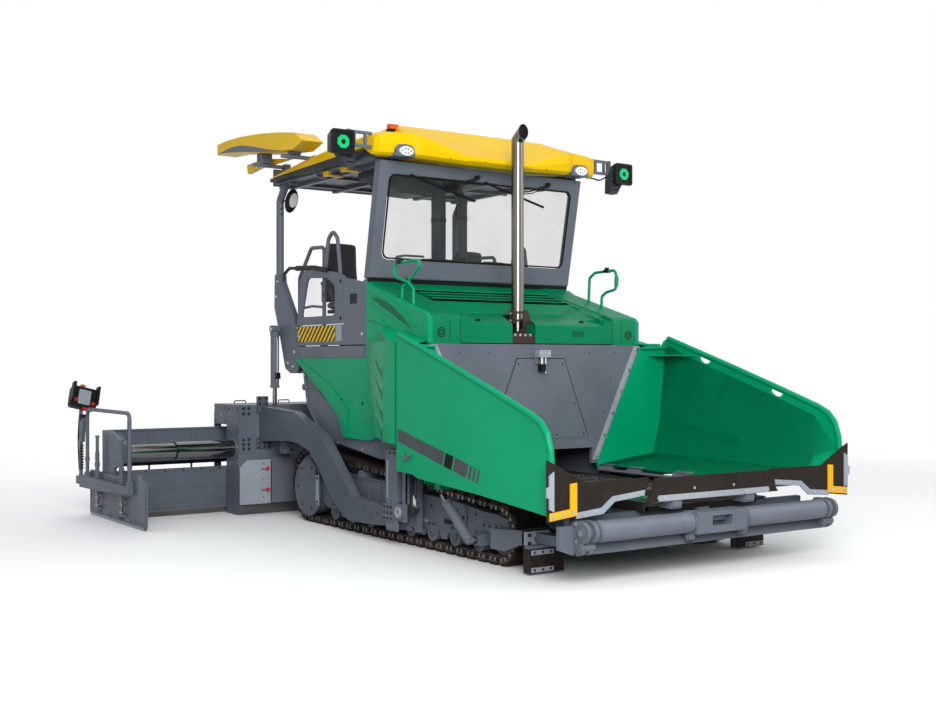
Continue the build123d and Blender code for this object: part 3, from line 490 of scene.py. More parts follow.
def finishPiece(bm, name, body, materials, bevel=0.004, segments=2, replaces=(), smoothAngle=35,
        side=None):
    # a sided piece is drawn on the left and turned over for the right
    if side == "right":
        mirrorSide(bm)
    if side:
        name, replaces = f"{name}_{side}", [f"{node}_{side}" for node in replaces]
        body = body if body == "tractor" else f"{body}_{side}"
    mesh = bpy.data.meshes.new(name)
    bm.to_mesh(mesh)
    bm.free()
    for material in materials:
        mesh.materials.append(finish[material])
    for face in mesh.polygons:
        face.use_smooth = True
    mesh.set_sharp_from_angle(angle=math.radians(smoothAngle))
    piece = bpy.data.objects.new(name, mesh)
    bpy.context.scene.collection.objects.link(piece)
    if bevel:
        edge = piece.modifiers.new("edges", "BEVEL")
        edge.width = bevel
        edge.segments = segments
        edge.limit_method = "ANGLE"
        edge.angle_limit = math.radians(smoothAngle)
        edge.harden_normals = True
    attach(piece, body)
    if replaces:
        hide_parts(*replaces)
    return piece


def dressNode(node, body, material, bevel=0.004):
    # the CAD node's own shape with its edges eased
    bm = bmesh.new()
    bm.from_mesh(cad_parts[node].data)
    bmesh.ops.remove_doubles(bm, verts=bm.verts, dist=0.00005)
    bmesh.ops.dissolve_limit(bm, angle_limit=math.radians(1), verts=bm.verts, edges=bm.edges)
    setSlot(bm.faces, 0)
    finishPiece(bm, f"{node}_shape", body, [material], bevel, 2, [node])


# hopper wings
wing = {"outer": 1.655, "sheet": 0.022, "rear": -1.23, "front": -3.44, "profile": [(-1.256, 1.965), (-2.1, 1.69),
    (-2.8, 1.455), (-3.2, 1.315), (-3.31, 1.262), (-3.385, 1.18), (-3.425, 1.06), (-3.44, 0.9), (-3.44, 0.64),
    (-3.4, 0.56), (-2.53, 0.64), (-1.6, 0.7), (-1.5, 0.73), (-1.256, 0.74)],
    "slots": ((-1.79, 1.744), (-2.72, 1.436)), "slotWidth": 0.155, "rim": 0.026,
    "rearPoints": [(0.697, 0.69), (1.43, 0.775), (1.53, 1.13), (1.605, 1.9)],
    "frontPoints": [(0.697, 0.668), (1.54, 0.735), (1.59, 0.83), (1.615, 1.2)], "stripe": {"start": (-1.262, 1.12),
    "end": (-2.55, 0.838), "height": 0.115, "blocks": 4},}


def wingSlots():
    # half-moon hand slots just under the rim
    cuts = []
    slope = (1.315 - 1.965) / (-3.2 + 1.256)
    turn = math.atan(slope)
    for y, z in wing["slots"]:
        arc = circle((0, 0), wing["slotWidth"] / 2, 10, math.pi, math.pi)
        arc = [(a, b * 0.62) for a, b in arc]
        cuts.append([(y + a * math.cos(turn) - b * math.sin(turn), z + a * math.sin(turn) + b * math.cos(turn)) for a,
            b in arc])
    return cuts


def wingSkin(bm, slot):
    # inner faces between the rear corner and the front edge, given a wall by an extrusion outwards
    steps = 8
    rows = []
    for k in range(steps + 1):
        share = k / steps
        y = wing["rear"] - wing["sheet"] + (wing["front"] + 0.012 - wing["rear"] + wing["sheet"]) * share
        row = []
        for a, b in zip(wing["rearPoints"], wing["frontPoints"]):
            row.append((a[0] + (b[0] - a[0]) * share, y, a[1] + (b[1] - a[1]) * share))
        rows.append(row)
    top = wing["profile"]
    for row in rows:
        y = row[-1][1]
        for (y0, z0), (y1, z1) in zip(top, top[1:]):
            if y1 <= y <= y0:
                height = z0 + (z1 - z0) * (y - y0) / (y1 - y0)
                row[-1] = (wing["outer"] - wing["sheet"] - 0.002, y, height - 0.105)
                row[-2] = (row[-2][0], y, min(row[-2][2], height - 0.3))
                break
    verts = [[bm.verts.new(point) for point in row] for row in rows]
    faces = []
    for lower, upper in zip(verts, verts[1:]):
        for k in range(len(lower) - 1):
            faces.append(bm.faces.new((lower[k], lower[k + 1], upper[k + 1], upper[k])))
    setSlot(faces, slot)
    for face in faces:
        face.smooth = False
    grown = bmesh.ops.solidify(bm, geom=faces, thickness=-0.012)["geom"]
    setSlot(pick("BMFace", grown), slot)


def makeWing(side):
    bm = bmesh.new()
    out, sheet, rear = wing["outer"], wing["sheet"], wing["rear"]
    addPlate(bm, wing["profile"], "x", out - sheet, out, 0, wingSlots() if side == "left" else ())
    wingSkin(bm, 0)
    edge = wing["profile"][:9]
    addPipe(bm, [(out - 0.012, y, z - 0.01) for y, z in edge], wing["rim"], 0.05, 0, 16)
    addSlab(bm, [(0.68, 0.69), (1.262, 1.862), (1.4, 1.872), (1.56, 1.872), (1.6, 1.93), (out - 0.005, 1.955),
        (out - 0.005, 0.745), (1.46, 0.7), (0.7, 0.65)], "y", rear - sheet, rear)
    addSlab(bm, [(1.262, 1.842), (1.6, 1.852), (1.6, 1.872), (1.262, 1.862)], "y", rear - 0.06, rear - sheet)
    addSlab(bm, [(out - 0.04, rear - sheet), (1.36, rear - sheet), (out - 0.04, -1.68)], "z", 1.77, 1.782)
    for y in (-1.62, -2.36, -3.05):
        # floor ribs under the skin
        addSlab(bm, [(0.72, 0.655), (0.76, 0.6), (1.36, 0.585), (1.6, 0.66), (1.6, 0.72), (1.45, 0.72)], "y", y,
            y + 0.014)
    addBlock(bm, (0.7, wing["front"] + 0.01, 0.64), (1.62, wing["front"] + 0.03, 0.7))
    # hinge tube and its barrels at the floor's inner edge
    addRod(bm, (0.69, wing["front"], 0.64), (0.69, -1.25, 0.64), 0.014, 1, 16)
    for y in (-1.36, -1.76, -2.39, -3.0):
        addRod(bm, (0.7, y - 0.09, 0.652), (0.7, y + 0.09, 0.652), 0.02, 1, 16)
        addBlock(bm, (0.706, y - 0.08, 0.655), (0.8, y + 0.08, 0.695), 1)
    # stripe of decal along the outer face, its end broken into blocks
    band = wing["stripe"]
    (y0, z0), (y1, z1) = band["start"], band["end"]
    tall = band["height"]

    def decal(a, b, slot):
        corners = [(y0 + (y1 - y0) * a, z0 + (z1 - z0) * a), (y0 + (y1 - y0) * b, z0 + (z1 - z0) * b)]
        (ya, za), (yb, zb) = corners
        lean = 0.035
        addSlab(bm, [(ya, za), (yb, zb), (yb + lean, zb - tall), (ya + lean * (a > 0), za - tall)], "x", out,
            out + 0.0012, slot)

    decal(0.0, 0.585, 2)
    decal(0.6, 0.69, 3)
    decal(0.705, 0.86, 2)
    for k in range(band["blocks"] - 1):
        decal(0.875 + k * 0.045, 0.905 + k * 0.045 - k * 0.004, 2)
    # lug for the cylinder eye
    addBlock(bm, (1.466, -1.764, 0.612), (1.534, -1.676, 0.69))
    addBlock(bm, (1.462, -1.77, 0.612), (1.538, -1.67, 0.622))
    # transport lock at the lower rear corner
    addPipe(bm, [(out + 0.008, -1.36, 0.9), (out + 0.03, -1.42, 0.86), (out + 0.03, -1.5, 0.9)], 0.008, 0.02, 1, 8)
    addRod(bm, (out - 0.01, -1.44, 0.87), (out + 0.04, -1.44, 0.87), 0.022, 1, 12)
    finishPiece(bm, "wing_shell", "wing", ["greenPaint", "greyPaint", "decalGrey", "sealRubber"], 0.004, 2,
        ["hopper_wing"], side=side)


flap = {"sheet": [(1.715, 0.985), (1.645, 0.955), (1.35, 0.802), (0.7, 0.806), (0.7, 0.765), (0.735, 0.69),
    (1.07, 0.66), (1.18, 0.575), (1.71, 0.52)], "strip": [(0.745, 0.712), (1.08, 0.682), (1.195, 0.602), (1.44, 0.58),
    (1.44, 0.535), (1.175, 0.555), (1.06, 0.64), (0.755, 0.668)], "marker": [(1.435, 0.56), (1.695, 0.533),
    (1.695, 0.592), (1.5, 0.612), (1.5, 0.8), (1.435, 0.806)], "front": -3.47, "thick": 0.012,}


def makeFlap(side):
    bm = bmesh.new()
    y, t = flap["front"], flap["thick"]
    addSlab(bm, flap["sheet"], "y", y, y + t)
    addBlock(bm, (1.3, y + t, 0.62), (1.62, wing["front"] + 0.012, 0.66), 1)
    addSlab(bm, flap["strip"], "y", y - 0.01, y, 2)
    addSlab(bm, flap["marker"], "y", y - 0.012, y, 3)
    addBolts(bm, [(x, y - 0.01, z) for x, z in ((0.8, 0.687), (0.93, 0.676), (1.25, 0.573), (1.37, 0.561))], toFront,
        0.01, 0.006, 1)
    addBolts(bm, [(x, y - 0.012, z) for x, z in ((1.48, 0.585), (1.57, 0.575), (1.665, 0.563))], toFront, 0.011,
        0.006, 1)
    # outer clamp plate, bent round the wing's front edge
    addSlab(bm, [(1.655, 0.6), (1.7, 0.62), (1.7, 0.7), (1.725, 0.71), (1.725, 0.78), (1.7, 0.79), (1.7, 0.87),
        (1.655, 0.9)], "y", y - 0.014, y, 2)
    addSlab(bm, [(y + t, 0.6), (y + t, 0.9), (-3.4, 0.84), (-3.4, 0.66)], "x", 1.657, 1.666, 2)
    finishPiece(bm, "wing_flap", "wing", ["rubberSheet", "zincSteel", "lightPaint", "amberPaint"], 0.003, 2, (),
        side=side)


apron = {"front": -3.5, "sheet": [(-0.64, 0.615), (-0.76, 0.615), (-0.7, 0.69), (-0.655, 0.8), (0.655, 0.8),
    (0.7, 0.69), (0.76, 0.615), (0.64, 0.615)]}


def makeApron():
    bm = bmesh.new()
    y = apron["front"]
    addSlab(bm, apron["sheet"], "y", y, y + 0.014)
    addSlab(bm, [(-0.625, 0.615), (0.625, 0.615), (0.64, 0.64), (0.625, 0.662), (-0.625, 0.662), (-0.64, 0.64)], "y",
        y - 0.012, y, 1)
    addBolts(bm, [(-0.575 + k * 0.23, y - 0.012, 0.639) for k in range(6)], toFront, 0.011, 0.006, 2)
    for x in (-0.42, 0.42):
        addBlock(bm, (x - 0.06, y + 0.014, 0.545), (x + 0.06, -3.36, 0.59), 3)
        addBlock(bm, (x - 0.05, y + 0.002, 0.56), (x + 0.05, y + 0.026, 0.64), 3)
    for x in (-0.2, 0.25):
        # seams where the rubber strips meet
        addBlock(bm, (x - 0.002, y - 0.001, 0.665), (x + 0.002, y, 0.8), 4)
        addBolts(bm, [(x - 0.03, y, 0.7)], toFront, 0.008, 0.005, 2)
    finishPiece(bm, "apron_sheet", "tractor", ["rubberSheet", "lightPaint", "zincSteel", "greyPaint", "sealRubber"],
        0.003, 2, ["front_apron"])


# push beam and rollers
pushBeam = {"z": 0.43, "radius": 0.085, "rollerY": -3.515, "rollerIn": 0.305, "rollerOut": 1.29}


def makePushBeam():
    bm = bmesh.new()
    y, z = pushBeam["rollerY"], pushBeam["z"]
    # rear plate with its bent lower lip
    addSlab(bm, [(-3.385, 0.3), (-3.385, 0.478), (-3.415, 0.478), (-3.425, 0.33), (-3.475, 0.255), (-3.452, 0.25)],
        "x", -1.42, 1.42)
    addSlab(bm, [(-1.56, 0.3), (-1.42, 0.25), (-1.42, 0.478), (-1.56, 0.478)], "y", -3.425, -3.385)
    addSlab(bm, [(1.42, 0.25), (1.56, 0.32), (1.56, 0.478), (1.42, 0.478)], "y", -3.425, -3.385)
    # centre block with its pocket
    outline = [(-0.29, 0.338), (0.29, 0.338), (0.29, 0.512), (-0.29, 0.512)]
    pocket = roundedBox((-0.115, 0.395), (0.115, 0.475), 0.012, 3)
    addPlate(bm, outline, "y", -3.588, -3.47, 0, [pocket])
    addBlock(bm, (-0.285, -3.47, 0.34), (0.285, -3.425, 0.51))
    addBlock(bm, (-0.11, -3.52, 0.425), (0.112, -3.47, 0.47))
    addSlab(bm, [(-0.275, 0.35), (-0.15, 0.35), (-0.15, 0.5), (-0.275, 0.5)], "y", -3.592, -3.588)
    addSlab(bm, [(0.15, 0.35), (0.275, 0.35), (0.275, 0.5), (0.15, 0.5)], "y", -3.592, -3.588)
    for sign in (-1, 1):
        # inner roller forks, hooked under the roller
        shape = [(-3.425, 0.3), (-3.425, 0.49)] + circle((y, z), 0.082, 12, math.pi / 2, math.pi * 0.9)
        shape += [(-3.515, 0.285)]
        addSlab(bm, [(a, b) for a, b in shape], "x", sign * 0.288, sign * 0.304)
        addRod(bm, (sign * 0.27, y, 0.315), (sign * 0.33, y, 0.315), 0.03, 0, 16)
        addRod(bm, (sign * 0.266, y, 0.315), (sign * 0.336, y, 0.315), 0.014, 1, 12)
        # outer brackets: plate, boss and foot
        shape = [(-3.4, 0.29), (-3.4, 0.5), (-3.47, 0.52)] + circle((y, z), 0.084, 14, math.pi / 2, math.pi)
        shape += [(-3.53, 0.28), (-3.48, 0.255)]
        addSlab(bm, shape, "x", sign * 1.31, sign * 1.35)
        addSlab(bm, shape, "x", sign * 1.395, sign * 1.425)
        addRod(bm, (sign * 1.3, y, z), (sign * 1.432, y, z), 0.046)
        addRod(bm, (sign * 1.425, y, z), (sign * 1.44, y, z), 0.026, 1, 12)
        addBlock(bm, (sign * 1.367 - 0.035, -3.46, 0.44), (sign * 1.367 + 0.035, -3.4, 0.515))
        addRod(bm, (sign * 1.302, y + 0.01, 0.318), (sign * 1.436, y + 0.01, 0.318), 0.034, 0, 20)
        addBolts(bm, [(sign * 1.425, y + 0.062, 0.36), (sign * 1.425, y + 0.062, 0.49)], (sign, 0, 0), 0.01, 0.008, 1)
        addBolts(bm, [(sign * x, -3.425, 0.44) for x in (0.55, 0.85, 1.15)], toFront, 0.012, 0.006, 1)
    addRod(bm, (0, -3.335, 0.3), (0, -3.335, 0.49), 0.068)
    finishPiece(bm, "push_beam_body", "push_beam", ["greyPaint", "zincSteel"], 0.005, 2, ["push_beam"])


def makePushRoller(side):
    bm = bmesh.new()
    y, z, radius = pushBeam["rollerY"], pushBeam["z"], pushBeam["radius"]
    low, high = pushBeam["rollerIn"], pushBeam["rollerOut"]
    addRod(bm, (low + 0.012, y, z), (high - 0.012, y, z), radius - 0.0015, 0, 48)
    for x in (low, high - 0.012):
        addRod(bm, (x, y, z), (x + 0.012, y, z), radius * 0.9, 0, 48)
    for x in (low + 0.05, high - 0.05):
        addRing(bm, (x - 0.004, y, z), (x + 0.004, y, z), radius, radius - 0.004, 0, 48)
    finishPiece(bm, "push_roller_tube", "push_roller", ["rollerPaint"], 0.004, 3, ["push_roller"], side=side)


makeApron()
makePushBeam()
for side in leftAndRight:
    makeWing(side)
    makeFlap(side)
    makePushRoller(side)
print("hopper wings, flaps and push beam ready")


# engine hood, side covers and exhaust
hood = {"half": 1.24, "front": -1.19, "rear": -0.04, "bottom": 1.88, "rearTop": 2.52, "louvres": 4,
    "louvreHalf": 0.86}


def hoodTop(y):
    # height of the sloping top at a depth
    return 2.16 + (y + 1.15) * 0.2929


wellEdge = {-1: (-0.33, -0.13), 1: (-0.056, 0.184)}


def skewWell(verts, sign):
    # the well round the exhaust runs aslant: its edge shifts with depth
    near, far = wellEdge[sign]
    for vert in verts:
        if abs(vert.co.x) < 0.5:
            vert.co.x = near + (far - near) * max(0.0, min(1.0, (vert.co.y + 1.19) / 0.53))


def makeHood():
    bm = bmesh.new()
    half, front, rear = hood["half"], hood["front"], hood["rear"]
    # shoulders and the lower middle, as slabs along the side profile
    profile = [(front, hood["bottom"]), (front, 2.125), (front + 0.012, 2.146), (-1.15, 2.16), (-0.16, 2.45),
        (rear, hood["rearTop"]), (rear, hood["bottom"])]
    for sign in (-1, 1):
        addSlab(bm, profile, "x", sign * 0.93, sign * half)
    deck = [(front + 0.006, 1.885), (front + 0.006, 2.02), (-1.1, 2.062), (-0.64, 2.185), (-0.16, 2.33), (rear, 2.4),
        (rear, 1.885)]
    for low, high, sign in ((-0.932, -0.2, -1), (0.26, 0.932, 1)):
        skewWell(addSlab(bm, deck, "x", low, high), sign)
    addSlab(bm, [(-0.64, 1.885), (-0.64, 2.185), (-0.16, 2.33), (rear, 2.4), (rear, 1.885)], "x", -0.202, 0.262)
    # air louvres: overlapping blades across the upper slope, a black sheet under them as painted shade between, and a
    # plain foot below them
    addSlab(bm, [(-0.64, 2.215), (-0.16, 2.355), (-0.16, 2.345), (-0.64, 2.2)], "x", -0.868, 0.868, 1)
    addSlab(bm, [(-0.61, 2.305), (-0.77, 2.192), (-0.77, 2.175), (-0.6, 2.285)], "x", -0.868, 0.868)
    addSlab(bm, [(-0.64, 1.95), (-0.64, 2.24), (-0.664, 2.22), (-0.664, 1.95)], "x", -0.868, 0.868)
    for k in range(hood["louvres"]):
        y = -0.168 - k * 0.11
        z = hoodTop(y) - 0.004
        addSlab(bm, [(y + 0.02, z), (y - 0.086, z - 0.008), (y - 0.09, z - 0.019), (y + 0.02, z - 0.012)], "x",
            -hood["louvreHalf"], hood["louvreHalf"])
    for sign in (-1, 1):
        addSlab(bm, [(-0.72, 2.1), (-0.72, 2.276), (-0.16, 2.444), (-0.16, 2.28)], "x", sign * 0.862, sign * 0.934)
    addSlab(bm, [(-0.16, 2.33), (-0.16, 2.447), (rear, 2.508), (rear, 2.4)], "x", -0.934, 0.934)
    # trays at each side of the exhaust, with a sloping inner cheek and a front lip
    trays = ((-0.932, -0.24, 1), (0.3, 0.932, -1))
    for low, high, lean in trays:
        skewWell(addSlab(bm, [(front, 1.888), (front, 2.062), (front + 0.03, 2.085), (-1.02, 2.118), (-0.7, 2.205),
            (-0.66, 2.205), (-0.66, 1.95)], "x", low, high), -lean)
    # raised corner lids and the sloping cheeks of the right-hand recess
    for sign, inner in ((-1, -0.76), (1, 0.8)):
        addSlab(bm, [(sign * 0.934, 1.89), (sign * 0.934, 2.128), (inner + sign * 0.04, 2.12), (inner, 2.06),
            (inner, 1.89)], "y", front + 0.001, -0.9)
        addSlab(bm, [(-0.9, 2.0), (-0.9, 2.2), (-1.13, 2.135), (-1.13, 2.0)], "x", sign * 0.934, inner + sign * 0.03)
    verts = [bm.verts.new(point) for point in ((0.932, -0.6, 2.315), (0.932, -1.04, 2.186), (0.7, -1.02, 2.112),
        (0.44, -0.66, 2.212), (0.932, -0.6, 2.1), (0.932, -1.04, 2.06))]
    cheek = [bm.faces.new([verts[i] for i in face]) for face in ((0, 1, 2), (0, 2, 3), (0, 3, 4), (1, 5, 2))]
    bmesh.ops.recalc_face_normals(bm, faces=cheek)
    for face in cheek:
        if face.normal.z < 0:
            face.normal_flip()
    # floor of the well round the exhaust
    addBlock(bm, (-0.34, -1.184, 1.89), (0.25, -0.664, 1.955), 3)
    # seams of the doors, their latches and the blank round badges
    for x in (-1.05, 1.05, -0.934, 0.934):
        addBlock(bm, (x - 0.0025, front - 0.0015, 1.892), (x + 0.0025, front + 0.002, 2.118), 2)
    addBlock(bm, (-0.932, front - 0.002, 1.883), (0.932, front + 0.004, 1.891), 2)
    for sign in (-1, 1):
        addRing(bm, (sign * 1.145, front - 0.004, 1.985), (sign * 1.145, front + 0.002, 1.985), 0.046, 0.038, 2)
        addRing(bm, (sign * 1.145, front - 0.004, 1.985), (sign * 1.145, front + 0.002, 1.985), 0.026, 0.016, 2, 24)
    for x, y, z in ((-0.665, -1.1, 2.103), (0.62, -1.08, 2.108)):
        addRod(bm, (x, y, z - 0.012), (x, y, z + 0.016), 0.018, 2, 14)
        addBlock(bm, (x - 0.03, y - 0.012, z - 0.004), (x + 0.012, y + 0.012, z + 0.01), 2)
    # recessed grip in the right-hand lip, its hollow a darker green block, painted shade
    addBlock(bm, (0.4, front - 0.001, 1.955), (0.56, front + 0.004, 2.02), 4)
    addSlab(bm, [(0.4, 2.026), (0.56, 2.026), (0.56, 2.012), (0.4, 2.016)], "y", front - 0.006, front + 0.002)
    # the hood takes the darker copy of the green, painted shade
    finishPiece(bm, "hood_shell", "tractor", ["hoodShadedGreen", "sealRubber", "blackPlastic", "bracketBrown",
        "greenPaintedShade"], 0.006, 2, ["hood"])


def makeHoodLoops():
    bm = bmesh.new()
    # grab loops at the hood's edges: the near one is a twisted ring, the far one a hoop with a grip
    near, far = -1.215, 1.215
    addPipe(bm, [(near, -0.82, 2.22), (near, -0.82, 2.395), (near - 0.012, -0.75, 2.465),
        (near - 0.014, -0.535, 2.52), (near, -0.47, 2.59), (near, -0.5, 2.66), (near, -0.89, 2.664),
        (near, -0.945, 2.615), (near + 0.014, -0.7, 2.468), (near + 0.012, -0.61, 2.425), (near, -0.605, 2.26)],
        0.015, 0.035)
    addPipe(bm, [(far, -0.48, 2.26), (far, -0.5, 2.61), (far, -0.59, 2.662), (far, -0.905, 2.67), (far, -0.935, 2.6),
        (far, -0.92, 2.47), (far, -0.77, 2.445), (far, -0.7, 2.405), (far, -0.69, 2.22)], 0.015, 0.04)
    addRod(bm, (far, -0.929, 2.5), (far, -0.934, 2.6), 0.022, 0, 16)
    for x, y in ((near, -0.58), (far, -0.78)):
        addRod(bm, (x, y, 2.655), (x, y, 2.705), 0.023, 1, 16)
        addBlock(bm, (x - 0.024, y - 0.034, 2.65), (x + 0.024, y + 0.034, 2.684), 1)
    finishPiece(bm, "hood_loops", "tractor", ["greenPaint", "blackPlastic"], 0, 2, ())


cover = {"rear": -0.06, "front": -1.16, "hoodHalf": 1.24, "out": 1.625, "flare": -0.95}


def lensRelief(bm, line, width, low, high, slot):
    # curved blade along a line: thick in the middle, pointed at its ends
    count = len(line)
    upper, lower = [], []
    for k, (y, z) in enumerate(line):
        swell = math.sin(math.pi * k / (count - 1)) * width
        upper.append((y, z + swell / 2))
        lower.append((y, z - swell / 2))
    addSlab(bm, upper + lower[-2:0:-1], "x", low, high, slot)


def arcLine(start, middle, end, steps=10):
    # smooth line through a control point
    points = []
    for k in range(steps + 1):
        t = k / steps
        points.append(tuple((1 - t) ** 2 * a + 2 * t * (1 - t) * b + t ** 2 * c for a, b,
            c in zip(start, middle, end)))
    return points


def makeSideCover():
    bm, base = bmesh.new(), bmesh.new()
    # flank panel, flared out behind the wing; recessed lenses and slanted vents show as wedges of darker green,
    # painted shade
    plan = [(cover["hoodHalf"], cover["front"]), (cover["out"], cover["front"]), (cover["out"], cover["flare"]),
        (1.285, cover["rear"]), (cover["hoodHalf"], cover["rear"])]
    addSlab(base, plan, "z", 0.94, 1.9)
    for normal in ((0, 0.9, -0.3), (0, 0.08, -1)):
        cut = bmesh.ops.bisect_plane(base, geom=base.verts[:] + base.edges[:] + base.faces[:],
            plane_co=(0, -0.39, 1.03), plane_no=normal, clear_outer=True)
        bmesh.ops.holes_fill(base, edges=pick("BMEdge", cut["geom_cut"]))
    pourInto(bm, base)
    # upper flank
    addSlab(bm, [(-1.19, 1.885), (-1.19, 2.12), (-1.15, 2.158), (-0.16, 2.448), (-0.06, 2.5), (-0.06, 1.7),
        (-0.1, 1.7)], "x", 1.24, 1.29)
    # shelf that runs down over the flare
    for k in range(8):
        share, after = k / 8, (k + 1) / 8
        y0, y1 = -0.3 - 0.86 * share, -0.3 - 0.86 * after
        z0, z1 = 2.06 - 0.16 * share ** 1.5, 2.06 - 0.16 * after ** 1.5
        x0 = 1.292 + 0.3 * min(1, share * 1.25)
        x1 = 1.292 + 0.3 * min(1, after * 1.25)
        quad = [(1.285, y0, z0), (1.285, y1, z1), (x1, y1, z1 - 0.05), (x0, y0, z0 - 0.03)]
        low = [(x, y, 1.86) for x, y, _ in quad]
        verts = [bm.verts.new(point) for point in quad + low]
        faces = [(0, 1, 2, 3), (7, 6, 5, 4), (0, 4, 5, 1), (1, 5, 6, 2), (2, 6, 7, 3), (3, 7, 4, 0)]
        bmesh.ops.recalc_face_normals(bm, faces=[bm.faces.new([verts[i] for i in face]) for face in faces])
    # swept ridges of the flank
    lensRelief(bm, arcLine((-0.115, 2.405), (-0.5, 2.36), (-1.02, 2.02)), 0.05, 1.288, 1.3, 0)
    lensRelief(bm, arcLine((-0.115, 2.3), (-0.42, 2.24), (-0.98, 1.95)), 0.035, 1.288, 1.298, 0)
    # the thin blade of darker green is painted shade along the crease
    lensRelief(bm, arcLine((-0.14, 2.345), (-0.46, 2.28), (-0.95, 2.0)), 0.075, 1.2895, 1.2915, 1)
    lensRelief(bm, arcLine((-0.1, 2.13), (-0.3, 2.14), (-0.52, 2.04)), 0.04, 1.288, 1.302, 0)
    # tail fin over the lower body
    addSlab(bm, [(-0.4, 1.0), (-0.3, 1.3), (-0.06, 1.75), (1.43, 1.75), (1.47, 1.715), (1.2, 1.555), (0.8, 1.33),
        (0.52, 1.14), (0.42, 0.945), (-0.1, 0.935)], "x", 1.24, 1.285)
    addSlab(bm, [(0.35, 0.985), (0.47, 1.165), (0.8, 1.375), (1.22, 1.6), (1.47, 1.735), (1.43, 1.75), (0.7, 1.48),
        (0.3, 1.22)], "x", 1.284, 1.296)
    addBolts(bm, [(1.285, 0.02, 1.3), (1.285, 0.46, 1.32)], toSide, 0.012, 0.004, 2)
    return bm


def ventPlane(y):
    # outer face of the flare at a depth
    return 1.285 + (cover["out"] - 1.285) * (cover["rear"] - y) / (cover["rear"] - cover["flare"])


def makeCovers():
    bm = bmesh.new()
    for side in leftAndRight:
        half = makeSideCover()
        if side == "right":
            mirrorSide(half)
        pourInto(bm, half)
    # vents: a slanted brow that stands out over a mouth of darker green, painted shade of the recess
    for sign in (1, -1):
        for k in range(4):
            z = 1.8 - k * 0.185
            rear, front = -0.5 - k * 0.03, -0.935
            mouth = [(rear, z - 0.02), (front, z - 0.165), (front, z - 0.262), (rear - 0.2, z - 0.15),
                (rear - 0.04, z - 0.08)]
            brow = [(rear + 0.05, z + 0.035), (front, z - 0.12), (front, z - 0.17), (rear + 0.01, z - 0.02)]
            for points, offsets, slot in ((mouth, (0.0018,) * 5, 3), (brow, (0.002, 0.002, 0.012, 0.008), 0)):
                outer = [bm.verts.new((sign * (ventPlane(y) + offset), y, zz)) for (y, zz),
                    offset in zip(points, offsets)]
                inner = [bm.verts.new((sign * (ventPlane(y) - 0.012), y, zz)) for y, zz in points]
                count = len(points)
                made = [bm.faces.new(outer), bm.faces.new(inner[::-1])]
                for i in range(count):
                    made.append(bm.faces.new((outer[i], inner[i], inner[(i + 1) % count], outer[(i + 1) % count])))
                bmesh.ops.recalc_face_normals(bm, faces=made)
                setSlot(made, slot)
    finishPiece(bm, "side_cover_shells", "tractor", ["greenPaint", "greenPaintedShade", "sealRubber", "greenPaintedShade"], 0.007,
        2, ["side_covers"])


exhaust = {"y": -0.83, "radius": 0.062, "base": 1.96, "bend": 3.915, "mouth": -0.925, "lean": (0, -0.8, 0.6)}


def makeExhaust():
    bm = bmesh.new()
    y, radius, bend = exhaust["y"], exhaust["radius"], exhaust["bend"]
    way = Vector(exhaust["lean"]).normalized()
    # upright tube, then an elbow cut upright so that its mouth looks forwards
    for outer, slot in ((radius, 0), (radius - 0.0035, 2)):
        count = 44
        rows = []
        for stage in range(3):
            ring = []
            for k in range(count):
                angle = k * math.tau / count
                spot = Vector((math.cos(angle) * outer, y + math.sin(angle) * outer, exhaust["base"] if stage == 0
                    else bend))
                if stage:
                    # where the upright surface meets the mitre plane
                    spot.z = bend - (spot.y - y) * (1 - way.z) / way.y
                if stage == 2:
                    reach = exhaust["mouth"] + (0.012 if slot else 0.0)
                    spot += way * ((reach - spot.y) / way.y)
                ring.append(bm.verts.new(spot))
            rows.append(ring)
        faces = []
        for low, high in zip(rows, rows[1:]):
            faces += [bm.faces.new((low[k - 1], low[k], high[k], high[k - 1])) for k in range(count)]
        if slot:
            faces.append(bm.faces.new(rows[2]))
            faces.append(bm.faces.new(rows[0]))
        else:
            lip = bmesh.ops.extrude_edge_only(bm, edges=[bm.edges.get((rows[2][k - 1], rows[2][k]))
                for k in range(count)])
            edge = pick("BMVert", lip["geom"])
            middle = sum((vert.co for vert in edge), Vector()) / len(edge)
            for vert in edge:
                vert.co += (middle - vert.co).normalized() * 0.003
            faces += pick("BMFace", lip["geom"])
        bmesh.ops.recalc_face_normals(bm, faces=faces)
        setSlot(faces, slot)
    # clamps, brown bracket and the foot collar
    for z in (2.11, 2.19):
        addRing(bm, (0, y, z), (0, y, z + 0.022), radius + 0.009, radius - 0.001, 1)
    addBlock(bm, (-0.105, y - 0.06, 2.09), (-0.062, y + 0.01, 2.215), 1)
    addBolts(bm, [(-0.105, y - 0.025, 2.12), (-0.105, y - 0.025, 2.19)], (-1, 0, 0), 0.011, 0.01, 3)
    addSlab(bm, [(-0.2, 1.957), (0.05, 1.957), (0.062, 2.07), (-0.005, 2.225), (-0.05, 2.225), (-0.062, 2.035),
        (-0.15, 2.0)], "y", -1.0, -0.988, 1)
    addSlab(bm, [(-1.0, 1.957), (-1.0, 2.06), (-0.78, 2.225), (-0.76, 2.18), (-0.76, 1.957)], "x", 0.05, 0.062, 1)
    addBlock(bm, (-0.322, -1.18, 1.956), (-0.072, -1.172, 1.985), 1)
    addBolts(bm, [(x, -1.18, 1.97) for x in (-0.29, -0.23, -0.17, -0.11)], toFront, 0.008, 0.005, 3)
    addRing(bm, (0, y, 1.962), (0, y, 2.0), 0.09, 0.061, 1)
    finishPiece(bm, "exhaust_tube", "tractor", ["stainless", "bracketBrown", "sealRubber", "zincSteel"], 0, 2,
        ["exhaust_pipe"], 40)


# hopper rear wall and conveyor
rearWall = {"front": -1.2, "thick": 0.04}


